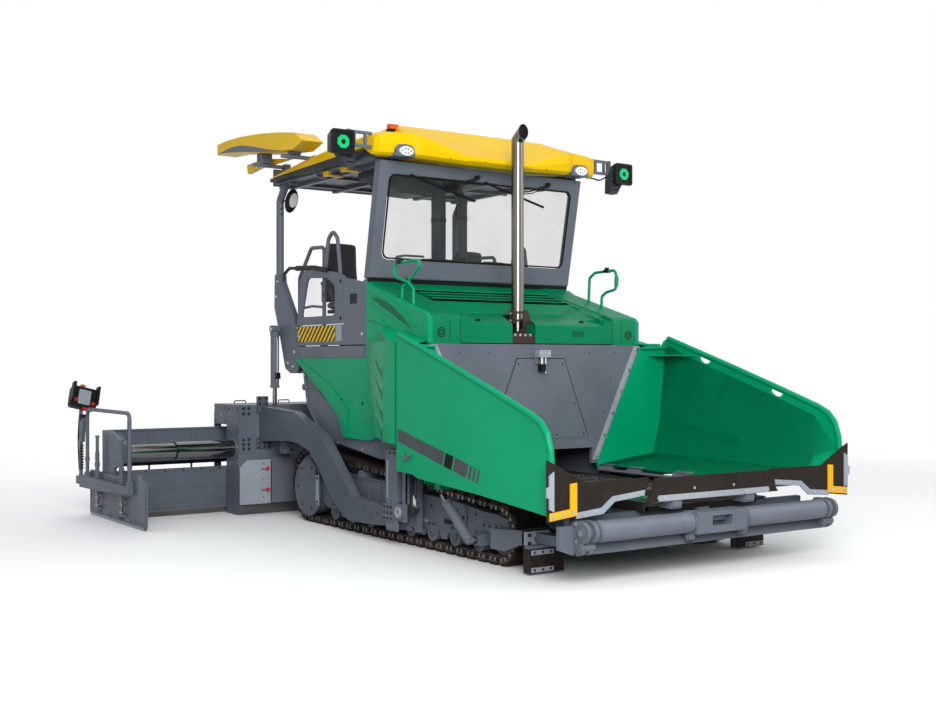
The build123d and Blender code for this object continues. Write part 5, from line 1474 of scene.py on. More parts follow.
def makeSeats():
    for sign in (-1, 1):
        label = "near" if sign < 0 else "far"
        low, high = sorted((sign * 0.645, sign * 1.055))
        cushion = [(0.77, 2.29), (0.765, 2.37), (0.8, 2.405), (1.16, 2.375), (1.235, 2.345), (1.235, 2.28),
            (1.1, 2.265)]
        back = [(1.14, 2.38), (1.215, 2.7), (1.225, 2.98), (1.25, 3.005), (1.31, 2.985), (1.3, 2.7), (1.235, 2.37)]
        makeCushion(f"seat_cushion_{label}", cushion, low, high, 0.012)
        makeCushion(f"seat_back_{label}", back, low + 0.015, high - 0.015, 0.014)
    bm = bmesh.new()
    for sign in (-1, 1):
        x = sign * 0.85
        addSlab(bm, [(1.245, 2.42), (1.315, 2.72), (1.322, 2.94), (1.345, 2.92), (1.345, 2.5), (1.29, 2.36)], "x",
            x - 0.175, x + 0.175)
        addBlock(bm, (x - 0.19, 0.8, 2.235), (x + 0.19, 1.22, 2.275))
        addRod(bm, (x, 0.99, 1.885), (x, 0.99, 2.1), 0.085, 0, 28)
        for k in range(5):
            addRod(bm, (x, 0.99, 2.1 + k * 0.027), (x, 0.99, 2.114 + k * 0.027), 0.105, 0, 28)
            addRod(bm, (x, 0.99, 2.114 + k * 0.027), (x, 0.99, 2.127 + k * 0.027), 0.09, 0, 28)
        addRod(bm, (x, 0.99, 1.88), (x, 0.99, 1.9), 0.15, 1, 28)
        for side in (-1, 1):
            addPipe(bm, [(x + side * 0.225, 1.26, 2.56), (x + side * 0.225, 1.05, 2.6),
                (x + side * 0.225, 0.88, 2.6)], 0.026, 0.05)
            addBlock(bm, (x + side * 0.225 - 0.012, 1.22, 2.36), (x + side * 0.225 + 0.012, 1.27, 2.58))
    finishPiece(bm, "seat_frames", "tractor", ["blackPlastic", "greyPaint"], 0.006, 2, ["seats"])


makeScreenFrame()
makeGlassPanes()
makeWipers()
makeRoofShell()
makeRoofUnder()
makeAwnings()
makeRoofLamps()
makeWorkLamps()
makeRearPosts()
makeMirrors()
makeSideGuards()
makePlatform()
makeConsole()
makeAirDucts()
makeHandrails()
makeSeats()
print("cab, roof and deck ready")


# crawler tracks
crawler = {"inner": 0.975, "outer": 1.28, "rearY": 1.18, "rearR": 0.4, "frontY": -2.27, "frontR": 0.265, "shoes": 54,
    "beam": 1.255}


def crawlerPath():
    # closed line over the grousers: its length and, at any distance, the point and the outward angle
    rear, front = crawler["rearR"], crawler["frontR"]
    bottom = crawler["rearY"] - crawler["frontY"]
    drop = math.asin((rear - front) / bottom)
    top = bottom * math.cos(drop)
    rearTurn = math.pi + 2 * drop
    frontTurn = math.tau - rearTurn
    length = bottom + rear * rearTurn + top + front * frontTurn

    def place(distance):
        along = distance % length
        if along < bottom:
            return crawler["frontY"] + along, 0.0, -math.pi / 2
        along -= bottom
        if along < rear * rearTurn:
            angle = -math.pi / 2 + along / rear
            return crawler["rearY"] + rear * math.cos(angle), rear + rear * math.sin(angle), angle
        along -= rear * rearTurn
        angle = math.pi / 2 + 2 * drop
        if along < top:
            share = along / top
            reach = rear + (front - rear) * share
            y = crawler["rearY"] + (crawler["frontY"] - crawler["rearY"]) * share
            return y + reach * math.cos(angle), reach + reach * math.sin(angle), angle
        along -= top
        angle += along / front
        return crawler["frontY"] + front * math.cos(angle), front + front * math.sin(angle), angle

    return length, place


def shoeMesh(pitch):
    # one shoe with its rubber pad, links and pins: X across, Y along the belt, Z outwards
    bm = bmesh.new()
    low, high = crawler["inner"], crawler["outer"]
    half = pitch / 2
    addBlock(bm, (low, -half * 0.92, -0.038), (high, half * 0.8, -0.027))
    addSlab(bm, [(-half * 0.74, -0.027), (-half * 0.66, -0.001), (half * 0.52, -0.001), (half * 0.6, -0.027)], "x",
        low + 0.006, high - 0.006, 1)
    for x in (low + 0.088, high - 0.088):
        for side in (-1, 1):
            centre = x + side * 0.027
            addSlab(bm, [(-half * 1.02, -0.07), (-half * 1.02, -0.05), (-half * 0.7, -0.04), (half * 0.7, -0.04),
                (half * 1.02, -0.05), (half * 1.02, -0.07), (half * 0.6, -0.077), (-half * 0.6, -0.077)], "x",
                centre - 0.009, centre + 0.009)
        addRod(bm, (x - 0.04, half * 0.98, -0.06), (x + 0.04, half * 0.98, -0.06), 0.013, 2, 8)
    for x in (low + 0.014, high - 0.014):
        for y in (-half * 0.5, half * 0.26):
            addBlock(bm, (x - 0.01, y - half * 0.17, -0.068), (x + 0.01, y + half * 0.17, -0.038), 2)
    addBolts(bm, [(x, y, -0.038) for x in (low + 0.088, high - 0.088) for y in (-half * 0.4, half * 0.3)], toGround,
        0.009, 0.006, 2)
    mesh = bpy.data.meshes.new("shoe")
    bm.to_mesh(mesh)
    bm.free()
    return mesh


def makeTracks():
    length, place = crawlerPath()
    pitch = length / crawler["shoes"]
    shoe = shoeMesh(pitch)
    for side in leftAndRight:
        bm = bmesh.new()
        for k in range(crawler["shoes"]):
            y, z, angle = place(pitch * (k + 0.5))
            begin = len(bm.verts)
            bm.from_mesh(shoe)
            bm.verts.ensure_lookup_table()
            turn = Matrix(((1, 0, 0, 0), (0, math.sin(angle), math.cos(angle), y),
                (0, -math.cos(angle), math.sin(angle), z), (0, 0, 0, 1)))
            bmesh.ops.transform(bm, matrix=turn, verts=bm.verts[begin:])
        for vert in bm.verts:
            # the pads stand on the ground
            vert.co.z = max(vert.co.z, 0.0002)
        finishPiece(bm, "track_chain", "tractor", ["trackSteel", "rubberSheet", "wornSteel"], 0, 1, ["track"],
            side=side)
    bpy.data.meshes.remove(shoe)


def makeCrawlerDetails():
    face = crawler["beam"]
    for side in leftAndRight:
        bm = bmesh.new()
        # rollers with flanges and grease caps
        for k in range(8):
            y = -1.95 + k * 0.37
            z = 0.164
            addRing(bm, (face - 0.008, y, z), (face + 0.002, y, z), 0.084, 0.06)
            addRod(bm, (face - 0.008, y, z), (face + 0.014, y, z), 0.034, 0, 20, 0.028)
            addRod(bm, (face + 0.012, y, z), (face + 0.02, y, z), 0.011, 2, 8)
            addBlock(bm, (face - 0.012, y - 0.05, 0.19), (face + 0.006, y + 0.05, 0.262))
            addBolts(bm, [(face + 0.006, y - 0.032, 0.24), (face + 0.006, y + 0.032, 0.24)], toSide, 0.009, 0.007, 2)
            if k < 7:
                addSlab(bm, [(y + 0.105, 0.192), (y + 0.265, 0.192), (y + 0.225, 0.12), (y + 0.145, 0.12)], "x",
                    face - 0.02, face - 0.004)
        # carrier rollers
        for y in (-0.9, 0.1):
            z = 0.568 + 0.078 * y
            addRing(bm, (face - 0.002, y, z), (face + 0.008, y, z), 0.053, 0.036, 0, 28)
            addRod(bm, (face, y, z), (face + 0.016, y, z), 0.024, 0, 16)
            addSlab(bm, [(y - 0.07, 0.475), (y + 0.07, 0.485), (y + 0.035, z + 0.01), (y - 0.035, z + 0.01)], "x",
                face - 0.05, face - 0.008)
        # idler with its rim, spokes and sliding yoke
        y, z = crawler["frontY"], crawler["frontR"]
        addRing(bm, (face - 0.048, y, z), (face - 0.03, y, z), 0.182, 0.14, 2, 40)
        addRod(bm, (face - 0.048, y, z), (face - 0.012, y, z), 0.062, 0, 28)
        for k in range(6):
            angle = k * math.tau / 6 + 0.3
            start = (face - 0.036, y + 0.055 * math.cos(angle), z + 0.055 * math.sin(angle))
            end = (face - 0.036, y + 0.145 * math.cos(angle), z + 0.145 * math.sin(angle))
            addRod(bm, start, end, 0.014, 0, 8)
        addSlab(bm, [(-2.34, 0.3), (-2.34, 0.335), (-2.01, 0.345), (-2.01, 0.285), (-2.22, 0.225), (-2.3, 0.225)],
            "x", face - 0.006, face + 0.01)
        addBolts(bm, [(face + 0.01, yy, 0.318) for yy in (-2.3, -2.22, -2.12, -2.04)], toSide, 0.01, 0.008, 2)
        # welded ribs, caps and openings of the box beam; the openings are black patches on the face, painted shade
        for yy, low, high in ((0.3, 0.2, 0.545), (-0.06, 0.2, 0.54), (-0.3, 0.2, 0.53), (-1.76, 0.25, 0.44)):
            addBlock(bm, (face, yy - 0.008, low), (face + 0.016, yy + 0.008, high))
        addSlab(bm, [(-0.3, 0.545), (-0.3, 0.556), (0.52, 0.572), (0.99, 0.482), (0.99, 0.47), (0.5, 0.56)], "x",
            1.01, face + 0.012)
        addSlab(bm, [(-1.98, 0.43), (-1.98, 0.44), (-1.56, 0.482), (-0.85, 0.502), (-0.3, 0.556), (-0.3, 0.545),
            (-0.85, 0.49), (-1.56, 0.47)], "x", 1.01, face + 0.012)
        addSlab(bm, [(-0.315, 0.2), (-0.3, 0.23), (-0.83, 0.23), (-1.4, 0.222), (-2.0, 0.235), (-2.06, 0.21)], "x",
            face, face + 0.01)
        addSlab(bm, roundedBox((-1.135, 0.244), (-0.99, 0.27), 0.012, 3), "x", face, face + 0.002, 4)
        addSlab(bm, roundedBox((-1.54, 0.262), (-1.405, 0.306), 0.014, 3), "x", face, face + 0.002, 3)
        addSlab(bm, roundedBox((-1.78, 0.33), (-1.69, 0.36), 0.01, 3), "x", face, face + 0.002, 3)
        addBolts(bm, [(face, yy, 0.395) for yy in (-1.9, -1.62, -1.2, -0.72, -0.45)], toSide, 0.011, 0.006, 2)
        addBlock(bm, (1.1, -1.55, 0.47), (1.2, -1.35, 0.5))
        # cheeks of the wing cylinder's foot
        for yy in (-2.082, -2.03):
            addSlab(bm, [(yy - 0.012, 0.15), (yy - 0.012, 0.255), (yy + 0.012, 0.255), (yy + 0.012, 0.15)], "x",
                face - 0.02, 1.35)
        addRing(bm, (1.366, -2.05, 0.2), (1.376, -2.05, 0.2), 0.034, 0.019, 2, 24)
        # final drive: toothed ring, hub and the cut-off cover with its strip
        y, z = crawler["rearY"], crawler["rearR"]
        for k in range(15):
            angle = k * math.tau / 15
            tooth = addSlab(bm, [(0.292, -0.03), (0.32, -0.014), (0.32, 0.014), (0.292, 0.03)], "x", 1.118, 1.16, 2)
            bmesh.ops.rotate(bm, cent=(0, 0, 0), matrix=Matrix.Rotation(angle, 3, "X"), verts=tooth)
            bmesh.ops.translate(bm, vec=(0, y, z), verts=tooth)
        y, z = 1.16, 0.37
        rim = circle((y, z), 0.302, 36, math.radians(-149), math.radians(298))
        hole = circle((y, z), 0.288, 36, math.radians(-147), math.radians(294))
        addPlate(bm, rim, "x", 1.299, 1.307, 0, [hole])
        addBlock(bm, (1.296, 0.905, 0.205), (1.31, 0.972, 0.515), 4)
        addBolts(bm, [(1.31, 0.938, zz) for zz in (0.235, 0.485)], toSide, 0.01, 0.006, 3)
        addSlab(bm, [(0.918, 0.535), (0.985, 0.585), (0.985, 0.52), (0.918, 0.52)], "x", 1.3, 1.308, 3)
        addBolts(bm, [(1.302, *spot) for spot in circle((y, z), 0.235, 4, math.radians(-110), math.radians(220))],
            toSide, 0.01, 0.006, 2)
        finishPiece(bm, "crawler_fittings", "tractor", ["greyPaint", "greyPaint", "darkSteel", "blackPlastic",
            "lightPaint"], 0.002, 1, (), 40, side=side)


# frame details, tow guides and scrapers
towGuide = {"outer": 1.473}


def makeTowGuides():
    bm = bmesh.new()
    outer = towGuide["outer"]
    # bolted plate at the arm's end and its bush
    addSlab(bm, roundedBox((-0.885, 0.235), (-0.705, 0.395), 0.012, 3), "x", outer, outer + 0.01)
    addBolts(bm, [(outer + 0.01, y, z) for y in (-0.735, -0.795, -0.855) for z in (0.262, 0.315, 0.368)], toSide,
        0.012, 0.007, 2)
    addRing(bm, (outer, -1.0, 0.335), (outer + 0.03, -1.0, 0.335), 0.05, 0.024, 4)
    addRing(bm, (outer, -1.0, 0.335), (outer + 0.016, -1.0, 0.335), 0.072, 0.048)
    addRod(bm, (outer, -1.0, 0.335), (outer + 0.012, -1.0, 0.335), 0.026, 2, 20)
    # folded edges of the posts
    for low, high in ((-0.956, -0.944), (-0.756, -0.744)):
        addBlock(bm, (1.425, low, 0.42), (outer, high, 0.845))
    addBlock(bm, (1.43, -1.1, 0.415), (outer, -1.09, 0.845))
    addSlab(bm, [(-0.95, 0.42), (-0.75, 0.42), (-0.75, 0.84), (-0.95, 0.84)], "x", outer - 0.002, outer + 0.001)
    # levelling ram rod with its guide and the small valve block
    addRod(bm, (1.425, -1.02, 0.4), (1.425, -1.02, 0.84), 0.012, 5, 20)
    addRod(bm, (1.425, -1.02, 0.56), (1.425, -1.02, 0.84), 0.026)
    addRing(bm, (1.425, -1.02, 0.548), (1.425, -1.02, 0.564), 0.03, 0.013, 2, 24)
    addRod(bm, (1.405, -1.15, 0.415), (1.405, -1.15, 0.47), 0.022, 6, 16)
    addRod(bm, (1.405, -1.185, 0.4), (1.405, -1.12, 0.4), 0.018, 6, 16)
    addBlock(bm, (1.375, -1.175, 0.345), (1.435, -1.105, 0.398), 2)
    addRod(bm, (1.425, -1.165, 0.462), (1.425, -1.165, 0.5), 0.009, 6, 12)
    addPipe(bm, [(1.405, -1.15, 0.465), (1.4, -1.15, 0.62), (1.36, -1.1, 0.8), (1.34, -1.08, 0.9)], 0.009, 0.05, 2, 8,
        smooth=True)
    addBolts(bm, [(outer, y, 0.87) for y in (-1.06, -0.98, -0.9, -0.82)], toSide, 0.011, 0.006, 2)
    # scale strip on the post
    addBlock(bm, (outer + 0.001, -0.79, 0.45), (outer + 0.002, -0.768, 0.8), 4)
    # slotted plate, strips and rubber of the scraper
    plate = [(1.11, 0.215), (1.36, 0.215), (1.36, 0.345), (1.11, 0.345)]
    slot = roundedBox((1.135, 0.258), (1.262, 0.308), 0.024, 4)
    addPlate(bm, plate, "y", -2.736, -2.724, 4, [slot])
    addSlab(bm, plate, "y", -2.722, -2.698, 3)
    for z in (0.25, 0.315):
        addRing(bm, (1.315, -2.744, z), (1.315, -2.734, z), 0.017, 0.01, 2, 20)
        addRod(bm, (1.315, -2.752, z), (1.315, -2.734, z), 0.01, 2, 6)
    addBlock(bm, (1.012, -2.792, 0.018), (1.362, -2.718, 0.213), 3)
    addSlab(bm, [(-2.8, 0.018), (-2.792, 0.018), (-2.792, 0.213), (-2.8, 0.205)], "x", 1.012, 1.362, 3)
    addBlock(bm, (1.12, -2.808, 0.165), (1.345, -2.799, 0.203), 4)
    addBlock(bm, (1.12, -2.808, 0.026), (1.345, -2.799, 0.064), 4)
    addBolts(bm, [(x, -2.808, z) for x in (1.15, 1.232, 1.315) for z in (0.184, 0.045)], toFront, 0.008, 0.005, 2)
    addMirrored(bm)
    finishPiece(bm, "tow_guide_fittings", "tractor", ["greyPaint", "greyPaint", "darkSteel", "rubberSheet",
        "lightPaint", "chromeSteel", "zincSteel"], 0.002, 2, (), 40)


def makeFrameDetails():
    bm = bmesh.new()
    # engine underguard, cross braces and hoses seen from below
    addBlock(bm, (-0.8, -1.05, 0.45), (0.8, 0.95, 0.462))
    for x in (-0.55, 0.0, 0.55):
        addBlock(bm, (x - 0.02, -1.05, 0.425), (x + 0.02, 0.95, 0.45))
    addBolts(bm, [(x, y, 0.45) for x in (-0.75, -0.3, 0.3, 0.75) for y in (-0.95, -0.05, 0.85)], toGround, 0.014,
        0.008, 1)
    for sign in (-1, 1):
        addPipe(bm, [(sign * 0.8, -2.95, 0.46), (sign * 0.8, -2.2, 0.5), (sign * 0.78, -1.2, 0.49),
            (sign * 0.7, 0.9, 0.48)], 0.016, 0.1, 2, 10, smooth=True)
        for y in (-2.6, -1.7, -0.9, 0.2):
            addBlock(bm, (sign * 0.79 - 0.03, y - 0.015, 0.47), (sign * 0.84, y + 0.015, 0.52))
        addBolts(bm, [(sign * 0.93, y, z) for y in (-3.05, -2.8, -1.45) for z in (0.36, 0.47)], (sign, 0, 0), 0.013,
            0.007, 1)
        # side plate flanges and the motor housings at the sprockets
        addSlab(bm, [(-3.19, 0.52), (-1.17, 0.52), (-1.17, 0.532), (-3.19, 0.532)], "x", sign * 0.835, sign * 0.955)
        addRing(bm, (sign * 0.932, 1.18, 0.4), (sign * 0.952, 1.18, 0.4), 0.225, 0.195, 0, 40)
        addBolts(bm, [(sign * 0.952, *spot) for spot in circle((1.18, 0.4), 0.21, 12)], (sign, 0, 0), 0.01, 0.007, 1)
        # towing eyes at the rear plate
        addRing(bm, (sign * 0.6 - 0.012, 1.535, 1.05), (sign * 0.6 + 0.012, 1.535, 1.05), 0.06, 0.03, 0, 28)
        addBlock(bm, (sign * 0.6 - 0.012, 1.495, 1.01), (sign * 0.6 + 0.012, 1.52, 1.09))
    # rear plate: hydraulic couplings in two rows and a service door
    for k in range(10):
        x = -0.3 + k * 0.066
        for z in (1.22, 1.3):
            addRod(bm, (x, 1.5, z), (x, 1.53, z), 0.017, 3, 6)
            addRod(bm, (x, 1.53, z), (x, 1.545, z), 0.012, 1, 16)
    addSlab(bm, roundedBox((-0.74, 1.38), (-0.4, 1.66), 0.02, 3), "y", 1.5, 1.51)
    addSlab(bm, roundedBox((0.4, 1.38), (0.74, 1.66), 0.02, 3), "y", 1.5, 1.51)
    addBolts(bm, [(x, 1.51, z) for x in (-0.72, -0.42, 0.42, 0.72) for z in (1.4, 1.64)], toRear, 0.01, 0.006, 1)
    finishPiece(bm, "frame_fittings", "tractor", ["greyPaint", "darkSteel", "sealRubber", "zincSteel"], 0.003, 1, (),
        40)


def makeBodyDetails():
    bm = bmesh.new()
    face = 1.24
    # service door in the grey lower body, drawn as its seam
    door = [(-0.28, 0.985), (0.26, 0.985), (1.02, 1.4), (1.1, 1.52), (0.42, 1.52), (-0.28, 1.2)]
    for (y0, z0), (y1, z1) in zip(door, door[1:] + door[:1]):
        addPipe(bm, [(face + 0.0005, y0, z0), (face + 0.0005, y1, z1)], 0.0035, 0.001, 1, 6)
    # rear edge channel, clamp and cable guide beside the lift cylinder
    addSlab(bm, [(1.255, 1.24), (1.38, 1.75), (1.41, 1.75), (1.285, 1.24)], "x", 1.16, face + 0.016)
    addSlab(bm, [(0.905, 0.895), (1.262, 1.245), (1.285, 1.235), (0.93, 0.88)], "x", 1.16, face + 0.012)
    addBolts(bm, [(face + 0.016, 1.27 + 0.1 * k / 3, 1.3 + 0.4 * k / 3) for k in range(4)], toSide, 0.009, 0.005, 2)
    addRod(bm, (face, 1.335, 1.44), (face + 0.03, 1.335, 1.44), 0.035, 0, 20)
    addBolts(bm, [(face, y, z) for y, z in ((-0.44, 0.82), (0.1, 0.84), (0.62, 0.875))], toSide, 0.011, 0.005, 2)
    addMirrored(bm)
    finishPiece(bm, "lower_body_fittings", "tractor", ["greyPaint", "sealRubber", "zincSteel"], 0.002, 1, (),
        40)


auger = {"y": 1.72, "z": 0.37, "reach": 0.223, "low": 0.1, "high": 0.91, "turns": 3.6, "steps": 150}


def makeAugers():
    for side in leftAndRight:
        bm = bmesh.new()
        y, z, reach, low, high, turns, steps = auger.values()
        rows = []
        for k in range(steps + 1):
            share = k / steps
            angle = math.tau * turns * share
            x = low + (high - low) * share
            c, s = math.cos(angle), math.sin(angle)
            rows.append([bm.verts.new(point) for point in ((x - 0.006, y + 0.046 * c, z + 0.046 * s),
                (x - 0.006, y + 0.18 * c, z + 0.18 * s), (x - 0.004, y + reach * c, z + reach * s),
                (x + 0.004, y + reach * c, z + reach * s), (x + 0.006, y + 0.18 * c, z + 0.18 * s),
                (x + 0.006, y + 0.046 * c, z + 0.046 * s))])
        for near, far in zip(rows, rows[1:]):
            for i in range(6):
                j = (i + 1) % 6
                face = bm.faces.new((near[i], near[j], far[j], far[i]))
                face.material_index = 1 if i in (1, 2, 3) else 0
        bm.faces.new(rows[0])
        bm.faces.new(rows[-1])
        bmesh.ops.recalc_face_normals(bm, faces=bm.faces)
        addRod(bm, (0.07, y, z), (0.94, y, z), 0.05, 0, 32)
        for x in (0.078, 0.505, 0.915):
            addRing(bm, (x, y, z), (x + 0.02, y, z), 0.066, 0.049, 2, 28)
            addBolts(bm, [(x + 0.01, y + 0.06 * math.cos(a), z + 0.06 * math.sin(a)) for a in (0.7, 3.84)], toSky,
                0.008, 0.012, 2)
        finishPiece(bm, "auger_screw", "auger", ["darkSteel", "wornSteel", "darkSteel"], 0, 1, ["auger"], 40,
            side=side)


def makeAugerCarrierDetails():
    bm = bmesh.new()
    # gear case cover and hanger bolts
    addRing(bm, (-0.066, 1.72, 0.37), (-0.06, 1.72, 0.37), 0.1, 0.055)
    addSlab(bm, roundedBox((-0.055, 0.42), (0.055, 0.67), 0.012, 3), "y", 1.606, 1.612)
    addSlab(bm, roundedBox((-0.055, 0.42), (0.055, 0.67), 0.012, 3), "y", 1.828, 1.834)
    addBolts(bm, [(x, 1.834, z) for x in (-0.042, 0.042) for z in (0.44, 0.54, 0.65)], toRear, 0.008, 0.006, 1)
    for sign in (-1, 1):
        addBolts(bm, [(sign * x, 1.78, z) for x in (0.25, 0.6, 0.95, 1.25) for z in (0.74, 0.82)], toRear, 0.012,
            0.007, 1)
        addBolts(bm, [(sign * x, 1.66, z) for x in (0.25, 0.6, 0.95, 1.25) for z in (0.74, 0.82)], toFront, 0.012,
            0.007, 1)
        addPipe(bm, [(sign * 0.1, 1.72, 0.88), (sign * 0.3, 1.69, 0.9), (sign * 0.62, 1.62, 0.93),
            (sign * 0.66, 1.48, 0.96)], 0.014, 0.06, 2, 10, smooth=True)
        addBlock(bm, (sign * 1.06 - 0.015, 1.779, 0.62), (sign * 1.06 + 0.015, 1.985, 0.66))
    finishPiece(bm, "auger_carrier_fittings", "tractor", ["greyPaint", "darkSteel", "sealRubber"], 0.002, 1, (),
        40)


limitPlate = {"front": 1.971, "latches": (0.285, 0.52)}


def makeLimitPlates():
    for side in leftAndRight:
        bm = bmesh.new()
        y = limitPlate["front"]
        outline = [(1.366, 0.13), (1.366, 0.62), (1.64, 0.62), (1.725, 0.54), (1.725, 0.13)]
        addSlab(bm, outline, "y", y, y + 0.012)
        addRod(bm, (1.36, 1.977, 0.13), (1.36, 1.977, 0.62), 0.009, 1, 16)
        addSlab(bm, [(1.373, 0.135), (1.373, 0.614), (1.385, 0.614), (1.385, 0.135)], "y", y - 0.012, y)
        # red toggle latches on their straps
        for z in limitPlate["latches"]:
            addSlab(bm, [(1.378, z - 0.012), (1.47, z - 0.012), (1.47, z + 0.006), (1.378, z + 0.006)], "y",
                y - 0.006, y, 1)
            addRod(bm, (1.4, y - 0.028, z), (1.4, y - 0.006, z), 0.02, 2, 20)
            addPipe(bm, [(1.4, y - 0.02, z), (1.388, y - 0.024, z + 0.018), (1.378, y - 0.02, z + 0.012)], 0.008,
                0.008, 2, 8)
        addBolts(bm, [(1.445, y, z) for z in (0.2, 0.4, 0.58)], toFront, 0.007, 0.004, 1)
        finishPiece(bm, "limit_flap", "limit_plate", ["lightPaint", "zincSteel", "redPaint"], 0.002, 2,
            ["limit_plate"], 40, side=side)


# arms, wing cylinders and lift cylinders
arm = {"face": 1.445}


def makeArmDetails():
    bm = bmesh.new()
    face = arm["face"]
    for y, z in ((-0.3, 0.3), (-0.43, 0.235), (-0.54, 0.28)):
        addRing(bm, (face, y, z), (face + 0.006, y, z), 0.03, 0.016, 0, 28)
        addRod(bm, (face - 0.004, y, z), (face + 0.002, y, z), 0.017, 1, 20)
    # folded rim along the upper edge
    top = [(-0.88, 0.33), (-0.414, 0.368), (-0.055, 0.394), (0.474, 0.864), (0.607, 0.971), (1.236, 1.18),
        (2.05, 1.213)]
    for (y0, z0), (y1, z1) in zip(top, top[1:]):
        addPipe(bm, [(face - 0.004, y0, z0 - 0.006), (face - 0.004, y1, z1 - 0.006)], 0.008, 0.001, 0, 10)
    # rear end flange with its bolts
    addBlock(bm, (1.352, 2.04, 1.14), (1.48, 2.078, 1.325))
    addBlock(bm, (1.31, 2.052, 0.74), (1.48, 2.078, 0.86))
    addBolts(bm, [(x, 2.04, z) for x in (1.378, 1.455) for z in (1.24, 1.3)], toFront, 0.012, 0.008, 1)
    addBolts(bm, [(x, 2.052, z) for x in (1.335, 1.395, 1.455) for z in (0.755, 0.8, 0.845)], toFront, 0.01, 0.006, 1)
    # hoses clipped along the inner face
    for drop in (0.0, 0.045):
        addPipe(bm, [(1.33, 2.0, 1.1 - drop), (1.33, 1.3, 1.08 - drop), (1.33, 0.7, 0.92 - drop),
            (1.33, 0.2, 0.5 - drop), (1.33, -0.1, 0.34 - drop)], 0.013, 0.1, 2, 10, smooth=True)
    for y, z in ((1.7, 1.07), (1.1, 1.02), (0.5, 0.74)):
        addBlock(bm, (1.312, y - 0.02, z - 0.05), (1.346, y + 0.02, z + 0.05))
    # lug for the lift rod: a round eye
    addRing(bm, (1.268, 2.0, 1.205), (1.312, 2.0, 1.205), 0.03, 0.016, 0, 28)
    addMirrored(bm)
    # the arm fittings take the darker copy of the grey, painted shade
    finishPiece(bm, "arm_fittings", "screed", ["armShadedGrey", "darkSteel", "sealRubber"], 0.002, 2, (), 40)


ram = {"foot": (1.43, -2.05, 0.2), "eye": (1.5, -1.72, 0.585), "barrel": 0.41}


def makeWingCylinders():
    foot, eye = Vector(ram["foot"]), Vector(ram["eye"])
    way = (eye - foot).normalized()
    for side in leftAndRight:
        bm = bmesh.new()
        end = foot + way * ram["barrel"]
        addRing(bm, foot, end, 0.042, 0.033, 0, 36)
        addRing(bm, end - way * 0.03, end, 0.046, 0.033, 0, 36)
        addRing(bm, foot, foot + way * 0.03, 0.045, 0.033, 0, 36)
        addRod(bm, foot, foot + way * 0.02, 0.036, 0, 28)
        addRod(bm, foot + Vector((-0.058, 0, 0)), foot + Vector((0.03, 0, 0)), 0.018, 1)
        addRing(bm, foot + Vector((-0.03, 0, 0)), foot + Vector((0.022, 0, 0)), 0.034, 0.018, 0, 28)
        across = way.cross(Vector(toSide)).normalized()
        addPipe(bm, [foot + way * 0.06 + across * 0.048, foot + way * 0.2 + across * 0.056,
            foot + way * 0.345 + across * 0.048], 0.009, 0.03, 0, 10)
        for share in (0.06, 0.345):
            addRod(bm, foot + way * share, foot + way * share + across * 0.058, 0.014, 0, 12)
        stage = bmesh.new()
        addRing(stage, foot + way * 0.05, foot + way * (ram["barrel"] + 0.012), 0.031, 0.0235, 0, 36)
        rod = bmesh.new()
        addRod(rod, foot + way * 0.08, foot + way * (ram["barrel"] + 0.075), 0.0215, 0, 32)
        finishPiece(bm, "wing_ram_tube", "wing_barrel", ["greyPaint", "zincSteel"], 0.002, 2, ["wing_barrel"],
            40, side=side)
        finishPiece(stage, "wing_ram_stage", "wing_stage", ["chromeSteel"], 0.001, 1, ["wing_stage"], 40,
            side=side)
        finishPiece(rod, "wing_ram_rod", "wing_rod", ["chromeSteel"], 0.001, 1, ["wing_rod"], 40, side=side)


lift = {"x": 1.29, "y": 2.0}


def makeLiftCylinders():
    bm = bmesh.new()
    x, y = lift["x"], lift["y"]
    addRing(bm, (x, y, 1.42), (x, y, 2.05), 0.048, 0.029, 0, 36)
    addRing(bm, (x, y, 1.42), (x, y, 1.45), 0.053, 0.029, 0, 36)
    addRing(bm, (x, y, 2.0), (x, y, 2.04), 0.053, 0.03, 0, 36)
    addRod(bm, (x, y, 2.01), (x, y, 2.05), 0.046, 0, 32)
    addRing(bm, (x - 0.05, y, 2.08), (x + 0.05, y, 2.08), 0.042, 0.022)
    addRod(bm, (x - 0.049, y, 2.08), (x + 0.049, y, 2.08), 0.023, 1)
    # pressure pipe and valve block
    addPipe(bm, [(x, y - 0.052, 1.48), (x, y - 0.066, 1.52), (x, y - 0.066, 1.95), (x, y - 0.05, 1.99)], 0.009, 0.02,
        1, 10)
    addBlock(bm, (x - 0.022, y - 0.1, 1.52), (x + 0.022, y - 0.045, 1.59), 2)
    addRod(bm, (x, y - 0.125, 1.575), (x, y - 0.095, 1.575), 0.013, 2, 12)
    addRod(bm, (x, y - 0.12, 1.538), (x, y - 0.095, 1.538), 0.016, 2, 12)
    addMirrored(bm)
    finishPiece(bm, "lift_tubes", "lift_barrels", ["greyPaint", "zincSteel", "blackPlastic"], 0.002, 2,
        ["lift_barrels"], 40)
    bm = bmesh.new()
    addRod(bm, (x, y, 1.24), (x, y, 1.73), 0.0255, 0, 32)
    addRod(bm, (x - 0.02, y, 1.225), (x + 0.02, y, 1.225), 0.016)
    addMirrored(bm)
    finishPiece(bm, "lift_piston_rods", "lift_rods", ["chromeSteel"], 0.001, 2, ["lift_rods"], 40)


makeTracks()
makeCrawlerDetails()
makeTowGuides()
makeFrameDetails()
makeBodyDetails()
makeAugers()
makeAugerCarrierDetails()
makeLimitPlates()
makeArmDetails()
makeWingCylinders()
makeLiftCylinders()
print("crawlers, frame, augers and arms ready")


